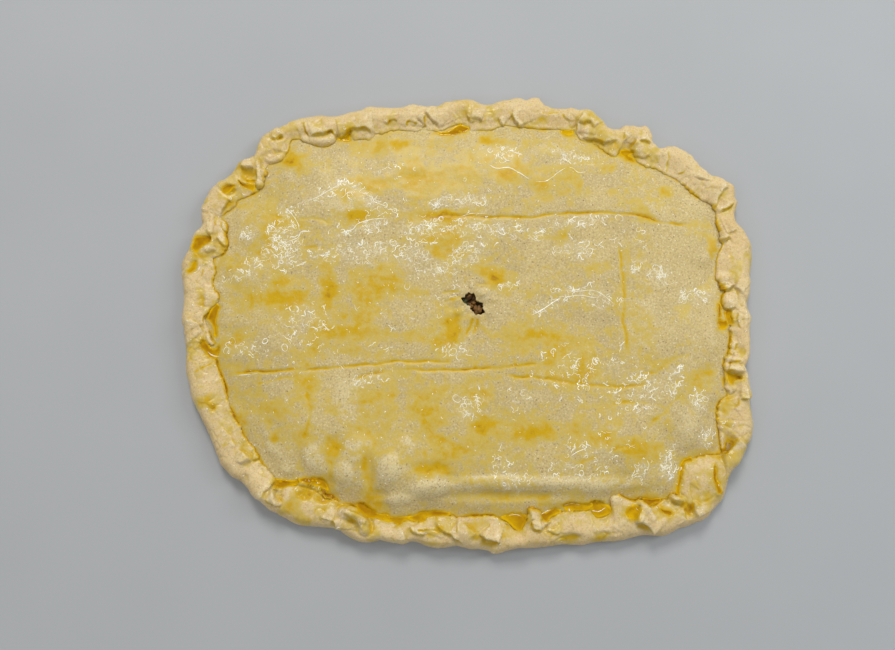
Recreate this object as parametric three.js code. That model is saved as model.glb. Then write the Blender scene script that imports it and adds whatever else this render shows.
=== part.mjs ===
// A large raw dough pie: a base sheet folded over at the rim, a lid tucked under the fold, and the filling.
// Millimetres, +Z up, +X along the length, the middle of the underside at the origin.
import * as THREE from "three";

// Smooth outline of the pie, before the pleats push it in and out
const LENGTH = 344;
const WIDTH = 275;
// How square each corner is: 2 is an ellipse, more is squarer
const CORNERS = { backRight: 2.5, backLeft: 2.5, frontLeft: 2.25, frontRight: 3.1 };

// Rim and sheets
const RIM_HEIGHT = 12.8;
const RIM_HEIGHT_SPREAD = 1.6;
const FOOT_INSET = 4;
const FOOT_ROUND = 1.2;
const SIDE_BULGE_HEIGHT = 4;
const SHEET = 3.2;
const FLOOR_TOP = 4;
const FLOOR_RAMP = 7;
const LIP_UNDER = 10;
const LIP_NOSE = 0.8;
// The lid's margin is tucked this far under the lip, and sinks a little on its way there
const TUCK = 8;
const TUCK_DROP = 0.6;
const GAP = 0.35;
const FILLING_GAP = 0.7;
const FILLING_EDGE = 4;
const FILLING_EDGE_LIFT = 1.2;

// Each pleat of the rim: where its fold starts in degrees round from +X, how far it stands out past the
// smooth outline, and how far in from that outline its free edge laps over the lid
const PLEATS = [
  [5, 2, 20], [16, 3.5, 13], [23, 8.5, 11], [30, 3.5, 16], [38, -1, 20], [43.5, 2.5, 22.5], [50, -3, 22],
  [61, 0.5, 17], [78, -0.5, 20], [90, -1, 23], [100.5, -1.5, 19], [114.5, -1, 20], [123.5, 3, 13],
  [129, 5.5, 10], [135, 4.5, 15], [144.5, 1, 19], [149, 4, 17], [154.5, 3.5, 15], [161, 0.5, 20],
  [165.5, 3, 18], [171.5, 0.5, 21], [180, -2, 23], [189, -1, 22], [201, 0.5, 19], [214, 2.5, 14],
  [222, 4.5, 18], [230, 1.5, 23], [239, 0.5, 20], [246, -1, 17], [254, -2, 20], [267, -1, 21],
  [273.5, 0.5, 22], [285, -1.5, 24], [295.5, -1, 23], [303.5, 1, 24], [310, 5, 17], [317, 6.5, 23],
  [325, 1, 18], [330, 0.5, 19], [343, -4, 20], [349.5, -4.5, 19], [356, -3, 22],
].map(([degrees, reach, lap]) => ({ degrees, reach, lap }));
const FOLD_DEPTH = 2;
const FOLD_WIDTH = 3.2;
const FOLD_PINCH = 1.6;
const FOLD_STEP = 1.8;
const FOLD_LEAN = 7;

// Section of the folded rim: share across it from the outside to the lip, and share of its height
const RIM_SECTION = [
  [0.07, 0.62], [0.18, 0.87], [0.32, 0.98], [0.5, 1], [0.68, 0.98], [0.84, 0.945], [0.95, 0.91],
];

// The lid rises slowly from the rim, sooner at the front, and lies in low swells over the filling
const TROUGH = 0.5;
const TROUGH_HEIGHT = 9.6;
const LID_RISE = 8;
const LID_RUN = 44;
const LID_RUN_FRONT = -14;
const TROUGH_SLOPE = 0.05;
const SWELLS = 16;
const SWELL_HEIGHT = 1.3;
const SWELL_RADIUS = 34;
// Lumps of filling that show through the lid: x, y, radius and height
const LUMPS = [
  [-71, -93, 15, 2.6], [-45, -89, 14, 2.4], [-23, -101, 15, 2.2], [-96, -62, 17, 1.8], [76, -88, 22, 1.6],
];

// Torn hole in the middle of the lid, a slanting slot with a waist, with the filling standing up in it
const VENT = { x: 3, y: 4.5, half: 8.6, waist: 3, turn: THREE.MathUtils.degToRad(132), lip: 1.1 };
const VENT_FILL_RISE = 2.2;
const VENT_LUMP_STEPS = 12;

// Steps round the rim; the hidden and gentle surfaces take every third one
const STEPS = 273;
const COARSE = 3;

// A repeatable number from 0 to 1 for one pleat or swell
function chance(index, channel) {
  const wave = Math.sin(index * 127.1 + channel * 311.7) * 43758.5453;
  return wave - Math.floor(wave);
}

function smooth(share) {
  const held = THREE.MathUtils.clamp(share, 0, 1);
  return held * held * (3 - 2 * held);
}

// Smooth outline as a distance from the middle, with its own squareness in each quarter
function outlineRadius(angle) {
  const across = Math.abs(Math.cos(angle)) / (LENGTH / 2);
  const along = Math.abs(Math.sin(angle)) / (WIDTH / 2);
  const back = Math.sin(angle) >= 0;
  const right = Math.cos(angle) >= 0;
  const power = CORNERS[(back ? "back" : "front") + (right ? "Right" : "Left")];
  return (across ** power + along ** power) ** (-1 / power);
}

// Evenly spaced stations round the smooth outline, each with its place along it and its inward direction
function outlineStations(count) {
  const fine = 40 * count;
  const at = (i) => {
    const angle = (2 * Math.PI * i) / fine;
    return new THREE.Vector2(Math.cos(angle), Math.sin(angle)).multiplyScalar(outlineRadius(angle));
  };
  const along = [0];
  for (let i = 1; i <= fine; i++) along.push(along[i - 1] + at(i).distanceTo(at(i - 1)));
  const perimeter = along[fine];
  const stations = [];
  for (let k = 0, i = 0; k < count; k++) {
    while (along[i] < (perimeter * k) / count) i++;
    const forward = at(i + 1).sub(at(i - 1)).normalize();
    stations.push({ along: along[i], point: at(i), inward: new THREE.Vector2(-forward.y, forward.x) });
  }
  const alongAtDegrees = (degrees) => along[Math.round((fine * degrees) / 360)];
  return { stations, perimeter, alongAtDegrees };
}

const { stations, perimeter, alongAtDegrees } = outlineStations(STEPS);
PLEATS.forEach((pleat, i) => {
  pleat.start = alongAtDegrees(pleat.degrees);
  pleat.height = RIM_HEIGHT + RIM_HEIGHT_SPREAD * (chance(i, 1) - 0.5);
  pleat.depth = FOLD_DEPTH * (0.3 + 1.2 * chance(i, 2));
  pleat.lean = FOLD_LEAN * (2 * chance(i, 3) - 1);
});

// The pleat at a place along the outline, the ones beside it, and the share of the way through it
function pleatAt(place) {
  const along = THREE.MathUtils.euclideanModulo(place, perimeter);
  let index = PLEATS.findLastIndex((pleat) => pleat.start <= along);
  if (index < 0) index = PLEATS.length - 1;
  const pleat = PLEATS[index];
  const next = PLEATS[(index + 1) % PLEATS.length];
  const before = PLEATS[(index + PLEATS.length - 1) % PLEATS.length];
  const length = THREE.MathUtils.euclideanModulo(next.start - pleat.start, perimeter);
  const phase = THREE.MathUtils.euclideanModulo(along - pleat.start, perimeter) / length;
  return { pleat, next, before, length, phase };
}

// A size of the pleats, eased from the middle of one pleat to the middle of the next
function eased(place, size) {
  const { pleat, next, before, phase } = pleatAt(place);
  if (phase < 0.5) return THREE.MathUtils.lerp(before[size], pleat[size], smooth(0.5 + phase));
  return THREE.MathUtils.lerp(pleat[size], next[size], smooth(phase - 0.5));
}

// How deep the folds cut at a place; each leans as it crosses the rim from 0 outside to 1 inside
function foldCut(place, across) {
  const { pleat, next, length, phase } = pleatAt(place);
  const cut = (fold, distance) => {
    const leaned = (distance - fold.lean * (across - 0.5)) / FOLD_WIDTH;
    return fold.depth * Math.exp(-leaned * leaned);
  };
  return cut(pleat, phase * length) + cut(next, (phase - 1) * length);
}

// Low swells and filling lumps that lift the lid at a point
function lidSwell(x, y) {
  const hill = (cx, cy, radius, height) => {
    const far = ((x - cx) ** 2 + (y - cy) ** 2) / radius ** 2;
    return height * Math.exp(-far);
  };
  let rise = 0;
  for (let i = 0; i < SWELLS; i++) {
    const cx = (chance(i, 4) - 0.5) * LENGTH * 0.8;
    const cy = (chance(i, 5) - 0.5) * WIDTH * 0.8;
    rise += hill(cx, cy, SWELL_RADIUS * (0.7 + 0.6 * chance(i, 6)), SWELL_HEIGHT * (2 * chance(i, 7) - 1));
  }
  LUMPS.forEach((lump) => {
    rise += hill(...lump);
  });
  return rise;
}

// Top of the lid at a point that lies past the lip by the given distance
function lidTop(x, y, past) {
  if (past <= TROUGH) return TROUGH_HEIGHT + TROUGH_SLOPE * past;
  const front = THREE.MathUtils.clamp(-y / (WIDTH / 2), 0, 1);
  const share = THREE.MathUtils.clamp((past - TROUGH) / (LID_RUN + LID_RUN_FRONT * front), 0, 1);
  const climb = 1 - (1 - share) ** 2;
  return TROUGH_HEIGHT + TROUGH_SLOPE * TROUGH + (LID_RISE + lidSwell(x, y)) * climb;
}

// A point on the smooth outline's station, moved inward and lifted
function placed(station, inward, height) {
  const { point, inward: direction } = station;
  return new THREE.Vector3(point.x + direction.x * inward, point.y + direction.y * inward, height);
}

// One ring of the rim: share across it from the outside to the lip, share of its height
function rimRing(across, heightShare) {
  return stations.map((station) => {
    const place = station.along;
    const reach = eased(place, "reach");
    const lap = eased(place, "lap");
    const cut = foldCut(place, across);
    const { phase } = pleatAt(place);
    const step = FOLD_STEP * (0.5 - phase) * heightShare;
    const outside = 1 - across;
    const inward = lap * across - reach * outside + (FOLD_PINCH / FOLD_DEPTH) * cut * outside;
    const top = eased(place, "height") * heightShare + step - cut * heightShare;
    return placed(station, inward, top);
  });
}

// One ring of the side, a fixed distance in from the edge that the pleats push out
function edgeRing(inward, height) {
  return stations.map((station) => {
    const pinch = (FOLD_PINCH / FOLD_DEPTH) * foldCut(station.along, 0);
    return placed(station, inward - eased(station.along, "reach") + pinch, height);
  });
}

// One ring a fixed distance past the lip's free edge
function lipRing(past, height, every = 1) {
  return stations
    .filter((_, i) => i % every === 0)
    .map((station) => placed(station, eased(station.along, "lap") + past, height));
}

// Torn edge of the hole, one point for each coarse station
function ventRing(grow) {
  const count = STEPS / COARSE;
  return Array.from({ length: count }, (_, i) => {
    const angle = Math.atan2(stations[i * COARSE].point.y, stations[i * COARSE].point.x);
    const slot = Math.abs(Math.cos(angle - VENT.turn)) ** 1.6;
    const torn = 1 + 0.07 * Math.sin(5 * angle) + 0.05 * Math.cos(9 * angle);
    const radius = THREE.MathUtils.lerp(VENT.waist, VENT.half, slot) * torn * grow;
    return new THREE.Vector3(VENT.x + radius * Math.cos(angle), VENT.y + radius * Math.sin(angle), 0);
  });
}

// One ring of the lid: a distance past the lip, and beyond that a share of the way to the hole
const LID_INNERMOST = 26;
function lidPlan(past, shareToVent, lift) {
  const ring = lipRing(Math.min(past, LID_INNERMOST), 0, COARSE);
  const vent = ventRing(1);
  return ring.map((point, i) => {
    const depth = past + shareToVent * point.distanceTo(vent[i]);
    const made = point.lerp(vent[i], shareToVent);
    made.z = lidTop(made.x, made.y, depth) + lift;
    return made;
  });
}

// A closed body from rings that follow each other; a ring of one point is a pole
function ringBody(rings, closed) {
  const positions = [];
  const starts = rings.map((ring) => {
    const start = positions.length / 3;
    ring.forEach((point) => positions.push(point.x, point.y, point.z));
    return start;
  });
  const faces = [];
  const joinRings = (a, b) => {
    const [countA, countB] = [rings[a].length, rings[b].length];
    const low = (i) => starts[a] + (i % countA);
    const high = (i) => starts[b] + (i % countB);
    if (countA === 1) {
      for (let i = 0; i < countB; i++) faces.push(low(0), high(i + 1), high(i));
    } else if (countB === 1) {
      for (let i = 0; i < countA; i++) faces.push(low(i), low(i + 1), high(0));
    } else if (countA === countB) {
      for (let i = 0; i < countA; i++) {
        faces.push(low(i), low(i + 1), high(i + 1));
        faces.push(low(i), high(i + 1), high(i));
      }
    } else {
      for (let i = 0; i < countB; i++) {
        const fine = i * COARSE;
        faces.push(low(fine), low(fine + 1), high(i));
        faces.push(low(fine + 1), high(i + 1), high(i));
        faces.push(low(fine + 1), low(fine + 2), high(i + 1));
        faces.push(low(fine + 2), low(fine + 3), high(i + 1));
      }
    }
  };
  for (let i = 0; i + 1 < rings.length; i++) joinRings(i, i + 1);
  if (closed) joinRings(rings.length - 1, 0);
  const geometry = new THREE.BufferGeometry();
  geometry.setAttribute("position", new THREE.Float32BufferAttribute(positions, 3));
  geometry.setIndex(faces);
  geometry.computeVertexNormals();
  return geometry;
}

const middle = (height) => [new THREE.Vector3(VENT.x, VENT.y, height)];

// Base sheet: flat underside, bulging side, folded rim, then back under the lip and over the floor
function baseGeometry() {
  return ringBody([
    middle(0),
    edgeRing(FOOT_INSET, 0),
    edgeRing(FOOT_ROUND, FOOT_ROUND),
    edgeRing(0, SIDE_BULGE_HEIGHT),
    ...RIM_SECTION.map(([across, heightShare]) => rimRing(across, heightShare)),
    lipRing(0, LIP_UNDER + LIP_NOSE),
    lipRing(-LIP_NOSE, LIP_UNDER),
    lipRing(-TUCK - GAP, LIP_UNDER - TUCK_DROP, COARSE),
    lipRing(-TUCK - GAP, TROUGH_HEIGHT - TUCK_DROP - SHEET - GAP, COARSE),
    lipRing(1, TROUGH_HEIGHT - SHEET - GAP, COARSE),
    lipRing(FLOOR_RAMP, FLOOR_TOP, COARSE),
    middle(FLOOR_TOP),
  ]);
}

// Lid sheet: top from its tucked margin to the hole, and its underside back again
const LID_PAST = [0, 3, FLOOR_RAMP, 12, 18, LID_INNERMOST];
const LID_SHARES = [0.12, 0.35, 0.62, 0.86];
function lidGeometry() {
  const top = [
    lipRing(-TUCK, TROUGH_HEIGHT - TUCK_DROP, COARSE),
    ...LID_PAST.map((past) => lidPlan(past, 0, 0)),
    ...LID_SHARES.map((share) => lidPlan(LID_INNERMOST, share, 0)),
    lidPlan(LID_INNERMOST, 1, VENT.lip),
  ];
  const under = [
    lidPlan(LID_INNERMOST, 1, -SHEET),
    ...LID_SHARES.toReversed().map((share) => lidPlan(LID_INNERMOST, share, -SHEET)),
    ...LID_PAST.toReversed().map((past) => lidPlan(past, 0, -SHEET)),
    lipRing(-TUCK, TROUGH_HEIGHT - TUCK_DROP - SHEET, COARSE),
  ];
  return ringBody([...top, ...under], true);
}

// Filling: a layer between floor and lid that stands up in the hole
function fillingGeometry() {
  const lift = -SHEET - FILLING_GAP;
  const heap = lidTop(VENT.x, VENT.y, LENGTH) + lift;
  const lumps = ventRing(0.6).map((point, i) => {
    point.z = heap + VENT_FILL_RISE * chance(Math.floor(i / VENT_LUMP_STEPS), 8);
    return point;
  });
  return ringBody([
    middle(FLOOR_TOP + GAP),
    lipRing(FLOOR_RAMP, FLOOR_TOP + GAP, COARSE),
    lipRing(FILLING_EDGE, FLOOR_TOP + FILLING_EDGE_LIFT + GAP, COARSE),
    ...LID_PAST.slice(LID_PAST.indexOf(FLOOR_RAMP)).map((past) => lidPlan(past, 0, lift)),
    ...LID_SHARES.map((share) => lidPlan(LID_INNERMOST, share, lift)),
    lidPlan(LID_INNERMOST, 1, lift),
    lumps,
    middle(heap + VENT_FILL_RISE),
  ]);
}

function node(name, geometry, colour, roughness) {
  const material = new THREE.MeshStandardMaterial({ color: colour, roughness, metalness: 0 });
  const mesh = new THREE.Mesh(geometry, material);
  mesh.name = name;
  return mesh;
}

const pie = new THREE.Group();
pie.add(
  node("base", baseGeometry(), "#dcc38c", 0.5),
  node("lid", lidGeometry(), "#d2bb82", 0.35),
  node("filling", fillingGeometry(), "#5e4021", 0.4),
);

// The pushed out pleats decide where the middle lies
const box = new THREE.Box3().setFromObject(pie);
const centre = box.getCenter(new THREE.Vector3());
pie.children.forEach((mesh) => mesh.geometry.translate(-centre.x, -centre.y, -box.min.z));

export default pie;
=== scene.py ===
import math

import bpy
import numpy as np
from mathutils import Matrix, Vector
from mathutils.bvhtree import BVHTree
from mathutils.geometry import tessellate_polygon


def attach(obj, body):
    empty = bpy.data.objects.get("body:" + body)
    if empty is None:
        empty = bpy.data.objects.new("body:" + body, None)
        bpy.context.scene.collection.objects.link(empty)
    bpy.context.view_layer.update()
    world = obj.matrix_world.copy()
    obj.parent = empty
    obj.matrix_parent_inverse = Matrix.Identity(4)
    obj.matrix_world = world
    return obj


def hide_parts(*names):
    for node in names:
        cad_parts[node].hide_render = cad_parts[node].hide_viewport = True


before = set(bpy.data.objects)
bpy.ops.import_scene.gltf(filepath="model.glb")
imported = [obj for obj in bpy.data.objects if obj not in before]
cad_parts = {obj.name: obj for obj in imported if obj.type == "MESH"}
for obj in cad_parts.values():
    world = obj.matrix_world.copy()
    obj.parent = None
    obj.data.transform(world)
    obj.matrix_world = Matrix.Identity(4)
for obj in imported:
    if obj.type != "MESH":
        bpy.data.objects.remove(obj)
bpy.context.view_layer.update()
MM = 0.001
TINY = 1e-9

# Camera of the photograph: focal length in pixels, size of the frame, and its place over the pie
PHOTO_WIDTH = 895
PHOTO_HEIGHT = 650
FOCAL_PX = 700.0
CAMERA_TILT = math.radians(9.0)
CAMERA_X = -12.2
CAMERA_Y = -71.7
CAMERA_HEIGHT = 419.7
SENSOR = 36.0
PX = CAMERA_HEIGHT / FOCAL_PX

# Heights at which the photograph's pixels are read for each kind of feature
FOOT_READING = 4.0
LIP_READING = 11.0
RIM_READING = 12.5
POOL_READING = 11.5
LID_READING = 18.5
BIT_READING = 21.0

# Smooth outline that the rim wanders about, how square each quarter's corner is, and the walk round it
LENGTH = 344.0
WIDTH = 275.0
CORNERS = (2.5, 2.5, 2.25, 3.1)
WALK = 24000
WALK_EVERY = 6
LAPS = (-2, -1, 0, 1, 2)

# How far along the rim the places of its edge, its lip and the groove under the lip are averaged
EDGE_SOFTENED = 0.8
LIP_SOFTENED = 0.7
GROOVE_SOFTENED = 7.0

# Steps round the meshes, and steps between the pixels of a line
RIM_STEPS = 1700
LID_STEPS = 1000
FILLING_STEPS = 130
FINE_CURVE = 8
CURVE = 6
POOL_CURVE = 4

# Factors that turn whole numbers into repeatable chance, and the strength of the noise made from it
SCATTER_X = 127.1
SCATTER_Y = 311.7
SCATTER_SEED = 74.7
SCATTER = 43758.5453
GRAIN_STRENGTH = 1.6


class Draw:
    """Channels of chance, one for each thing that is drawn."""

    SWELL_X, SWELL_Y, SWELL_RADIUS, SWELL_HEIGHT = range(4, 8)
    FOLD_EGG = 21
    POOL_TONE = 31
    STRAND_OUT, STRAND_ROUND, STRAND_WIDTH, RING, RING_RADIUS = range(41, 46)
    STRAND_HEADING, STRAND_LENGTH, DOT, FORK, FORK_SIDE = range(46, 51)
    RING_START, RING_TURN, STRAND_TONE = range(51, 54)
    SPARK_X, SPARK_Y, SPARK_HEADING, SPARK_WIDTH = range(55, 59)
    SPECK_PLACE, SPECK_LENGTH, SPECK_HEADING, SPECK_WIDTH = range(61, 65)


# Noises: height, size of the lumps, seed, layers
RIM_HEIGHT_WAVES = (0.8, 26.0, 9, 1)
RIM_LUMPS = [(0.45, 18.0, 21, 3), (0.13, 5.0, 24, 2)]
RIM_STREAKS = (1.0, 22.0, 31, 3)
SKIN_GRAIN = (0.025, 1.9, 26, 1)
LIP_WAVES = (0.8, 15.0, 13, 1)
LIP_FRAY = (0.25, 2.5, 12, 2)
GATHERS = (1.0, 4.6, 11, 1)
GATHER_STRAY = (1.5, 6.0, 103, 1)
FOLD_UNEVEN = (0.6, 3.5, 97, 1)
LID_WAVES = [(0.5, 34.0, 41, 3), (0.14, 9.0, 45, 2)]
LID_DRAPE = (0.7, 15.0, 47, 2)
LID_STREAKS = (1.0, 26.0, 63, 4)
STREAK_BEND = (6.0, 30.0, 61, 1)
PUCKER_STRAY = (2.0, 8.0, 51, 1)
HEAP_LUMPS = (1.2, 4.5, 81, 2)
FILM_WAVES = (1.0, 5.0, 35, 1)
STRAND_CURL = (2.5, 3.0, 301, 2)
STRAND_BEADS = (0.75, 1.7, 307, 1)

# How far lines and patches stray: amount, size of the bends, seed
FOLD_WANDER = (0.6, 4.5, 91)
LID_CREASE_WANDER = (0.8, 8.0, 5)
POOL_WANDER = (0.35, 3.0, 33)
PATCH_WANDER = [(1.6, 11.0, 71), (1.0, 4.0, 72)]

# Spots that have gathers, creases or egg in the seam: share of the dough, size, seed, contrast
GATHER_SPOTS = (0.5, 27.0, 104, 1.0)
LID_CREASE_SPOTS = (0.8, 14.0, 6, 0.7)
RIM_SEAM_SPOTS = (0.65, 10.0, 107, 1.0)
LID_SEAM_SPOTS = (0.75, 12.0, 76, 1.0)

# Rim and sheets of dough
RIM_HEIGHT = 12.8
FOOT_INSET = 4.0
FOOT_ROUND = 1.2
SIDE_BULGE_HEIGHT = 4.0
SHEET = 3.2
FLOOR_TOP = 4.0
FLOOR_TURN = 1.0
FLOOR_RAMP = 7.0
TUCK = 8.0
TUCK_DROP = 0.6
GAP = 0.35

# Lip of the rim: its nose, thickness and ragged edge; on the far side it lies flatter, with less egg
LIP_UNDER = 10.0
LIP_NOSE = 0.8
LIP_NOSE_HEIGHT = 0.4
LIP_THICK = 1.3
LIP_SINK = 0.5
LIP_ROWS = 3
LIP_RAGGED = 1.1
FAR_SIDE = (50.0, 100.0)
FAR_FLATTER = 0.45
FAR_DRIER = 0.55

# Section of the rim: inset and height up the side, then share across to the lip and share of the height
RIM_SIDE = [(FOOT_INSET, 0.0), (FOOT_ROUND, FOOT_ROUND), (0.0, SIDE_BULGE_HEIGHT)]
RIM_TOP = [(0.07, 0.62), (0.18, 0.87), (0.32, 0.98), (0.50, 1.0), (0.68, 0.98), (0.84, 0.97), (0.95, 0.96)]
RIM_ROWS = [3, 4, 4, 6, 6, 6, 6, 6, 4, 3, 2, 1, 1, 1, 1]
SIDE_ROWS_UNSEEN = 3

# Folds of the rim: a crease with a raised upper side and a sunk lower side
FOLD_CREASE = 0.5
FOLD_CREASE_EDGE = 1.3
FOLD_CUT = 0.5
FOLD_LIFT = 2.2
FOLD_REACH = 6.5
FOLD_SINK = 0.5
FOLD_SINK_REACH = 3.0
FOLD_EDGE = 0.9
FOLD_EDGE_START = 0.4
FOLD_ENDS = 6
FOLD_PAST_END = 1.5
FOLD_EVEN = 0.65

# Rolled edges of the rim: a full back with a shallow ditch on either side
ROLL_GAIN = 1.4
ROLL_EDGE = 2.6
ROLL_DITCH = 0.25
ROLL_DITCH_PLACE = 1.5
ROLL_DITCH_WIDTH = 0.45

# Gathers that run from the lip up the rim
GATHER_MEAN = 0.3
GATHER_HEIGHT = 0.9
GATHER_REACH = 5.0
GATHER_SLOW = 0.35

# Fine wrinkles of the rim: depth, size, width, seed, then share and size of the places that have them
RIM_WRINKLES = [(0.45, 7.0, 0.1, 27, 0.4, 19.0), (0.12, 3.6, 0.14, 29, 0.5, 13.0)]
WRINKLE_CONTRAST = 1.2

# Height from which the rim's relief grows, over what height, and the relief of a full ridge
RELIEF_START = 1.0
RELIEF_RAMP = 6.0
RIM_RIDGE = 0.8

# Steps along and across the rim whose mean height a ridge stands out from
RIDGE_ALONG = range(-6, 7, 2)
RIDGE_ACROSS = range(-4, 5, 2)

# Lid: a trough under the lip, a climb, low swells, and lumps of filling under it (x, y, radius, height)
TROUGH = 0.5
TROUGH_HEIGHT = 9.6
TROUGH_SLOPE = 0.05
LID_RISE = 8.0
LID_RUN = 44.0
LID_RUN_FRONT = -14.0
LID_INNERMOST = 26.0
WELL_PAST = 99.0
SWELLS = 16
SWELL_SPREAD = 0.8
SWELL_HEIGHT = 1.3
SWELL_RADIUS = 34.0
SWELL_RADII = (0.7, 0.6)
LUMPS = [
    (-71, -93, 15, 2.6), (-45, -89, 14, 2.4), (-23, -101, 15, 2.2), (-96, -62, 17, 1.8), (76, -88, 22, 1.6),
]

# Rings of the lid: distances past the lip, then shares of the way from there to the vent
LID_PAST = np.r_[-TUCK, -6, -4, -2.5, -1, np.arange(0, LID_INNERMOST, 0.8), LID_INNERMOST]
LIP_RING = 5
LID_SHARES = np.r_[np.linspace(0, 0.88, 98)[1:], np.linspace(0.88, 1, 36)[1:]]

# Which points of a ring are kept: every so many, up to a share of the way to the vent
LID_THINNING = [(0.25, 1), (0.6, 2), (0.82, 4), (2.0, 8)]

# Waves of the lid and its drape by the rim: how soon past the lip they show, and what is a full ridge
LID_SHOWN = 6.0
DRAPE_PAST = 9.0
WAVE_RIDGE_SHARE = 0.5
LID_RIDGE = 1.1

# Creases of the lid
LID_CREASE_WIDTH = 0.9
LID_CREASE_MARGIN = 8.0
LID_CREASE_ENDS = 8

# Torn vent: a slanting slot with a waist, its raised lip and the puckers round it
VENT_X = 3.0
VENT_Y = 4.5
VENT_HALF = 8.6
VENT_WAIST = 3.0
VENT_WAIST_EDGE = 1.6
VENT_TURN = math.radians(132)
VENT_TORN = 0.88
VENT_TEARS = [(0.08, 5, 0.0), (0.07, 9, math.pi / 2), (0.05, 17, 0.0)]
VENT_LIP_HEIGHT = 1.0
VENT_LIP_AWAY = 8.0
VENT_LIP_WIDTH = 4.0
VENT_EDGE_SHARE = 0.4
PUCKERS = 9
PUCKER_HEIGHT = 0.35
PUCKER_AWAY = 11.0
PUCKER_WIDTH = 6.0

# Filling: its gap under the lid, its outer edge, the rings of its top, and the lumpy heap in the vent
FILLING_GAP = 0.7
FILLING_EDGE = 4.0
FILLING_EDGE_LIFT = 1.2
FILLING_PAST = (FLOOR_RAMP, 12.0, 18.0, LID_INNERMOST)
FILLING_SHARES = (0.3, 0.6, 0.85, 1.0)
FILLING_VENT = 1.25
HEAP_RINGS = (1.0, 0.8, 0.6, 0.4, 0.2)
HEAP_LIFT = 0.3

# Chunks and bubbles: height of the poles, squash along each axis, unevenness and steps round
CHUNK_POLE = 0.38
CHUNK_SQUASH = np.array([1.05, 0.95, 0.75])
CHUNK_GRAIN = 0.7
CHUNK_LEAN = 0.6
BIT_UNEVEN = 0.55
BIT_STEPS = 18
BIT_LIFT = 0.6
BIT_SEED = 90
BUBBLE_UNEVEN = 0.05
BUBBLE_STEPS = 14
BUBBLE_SINK = 0.1
BUBBLE_TONE = 0.2
BUBBLE_SEED = 200

# Pools of egg: the shore that sets the level, the bank that holds it, the bed, and the film round it
POOL_SHORE = 1.3
POOL_LEVEL_PERCENT = 42
POOL_BANK = 2.2
BANK_STAND = 0.12
BANK_SLOPE = 0.3
BANK_MOST = 1.6
BED_MARGIN = 1.0
BED_DROP = 0.12
BED_SLOPE = 0.35
BED_REACH = 4.0
POOL_FILM = 6.0
FILM_EDGE = 0.9
FILM_FADE = 1.7

# Section of a pool: distance in from its outline, share of its half width, height, share of its tone
POOL_SECTION = [
    (-0.8, 0.0, -1.8, 0.0), (-0.8, 0.0, -0.2, 0.0), (-0.3, 0.0, 0.02, 0.0), (0.0, 0.0, 0.09, 0.15),
    (0.0, 0.3, 0.03, 0.7), (0.0, 0.6, 0.0, 1.0),
]
# Tone of a pool: its least, a random spread, and painted shade added towards the back
POOL_TONE = 0.25
POOL_TONE_SPREAD = 0.35
POOL_TONE_BACK = 0.4

# Egg in creases and in the seam under the lip: strengths and widths
CREASE_EGG = 1.25
FOLD_EGG = 2.2
FOLD_EGG_DRY = 0.5
FOLD_EGG_WIDTH = 0.6
LID_CREASE_EGG = 0.15
SEAM_EGG = 1.3
RIM_SEAM = 1.0
LID_SEAM = 1.1

# Egg on the rim: brushed on in spots, in hollows and in low places
RIM_PATCH_EDGE = 1.0
RIM_BRUSHED = 0.5
RIM_BRUSHED_FROM = 0.15
RIM_BRUSHED_RANGE = 0.7
HOLLOW_EGG = 0.5
HOLLOW_DEPTH = 2.4
LOW_EGG = 0.35

# Egg on the lid: patches, streaks of the brush, low and high spots
LID_PATCH_EDGE = 0.9
LID_PATCH_EGG = 0.8
STREAK_EGG = 0.42
STREAK_RANGE = 0.8
STREAK_LONG = 0.7
STREAK_CLOSE = 1.25
LOW_SPOT_EGG = 0.3
HIGH_SPOT_DRY = 0.25
CREASE_FILM = 0.5

# Froth, raised but coloured white as painted glints: strands with forks and beads, rings, dots, glint
# sparks strewn over the lid and glint specks on the rim
FROTH_STEP = 0.4
FROTH_SPREAD = 1.2
FROTH_CROWDING = 0.6
FROTH_SHARE = 1.5
FROTH_DENSE = 13.0
FROTH_FADE = 0.7
FROTH_STEEP = 0.8
FROTH_WIDTH = 0.76
STRAND_WIDTHS = (0.5, 0.8, 2)
STRAND_LENGTHS = (2.6, 6.5, 1.5)
STRAND_HEADING = 0.9
STRAND_FEWEST = 4
STRAND_APART = 3.7
STRAND_SECTION = [(-0.5, -0.3), (-0.3, 0.12), (0.0, 0.22), (0.3, 0.12), (0.5, -0.3)]
STRAND_TIP = 0.25
STRAND_ENDS = 6
BEAD_MEAN = 0.85
BEAD_APART = 5.3
BEAD_RANGE = (0.3, 1.6)
FROTH_FORKS = 0.7
FORK_TURN = 1.1
FORK_FROM = 2.0
FORK_LENGTH = 0.5
FORK_SEED = 0.5
SIDE_WIDTH = 0.8
FROTH_DOTS = 0.3
DOT_LENGTH = 1.4
FROTH_RINGS = 0.12
RING_RADII = (0.7, 1.5, 1.5)
RING_TURNS = (4.6, 2.0)
RING_POINTS = 18
RING_WOBBLE = 0.15
FULL_TURN = 6.28
FROTH_SPARKS = 700
SPARK_REACH = (0.78, 0.74)
SPARK_LENGTH = 1.0
SPARK_WIDTHS = (0.35, 0.4, 2)
RIM_SPECKS = 340
SPECK_LENGTHS = (0.8, 2.4, 3)
SPECK_WIDTHS = (0.3, 0.35, 2)
SPECK_RIDGE = 0.3
ABOVE_ALL = 60.0

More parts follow.
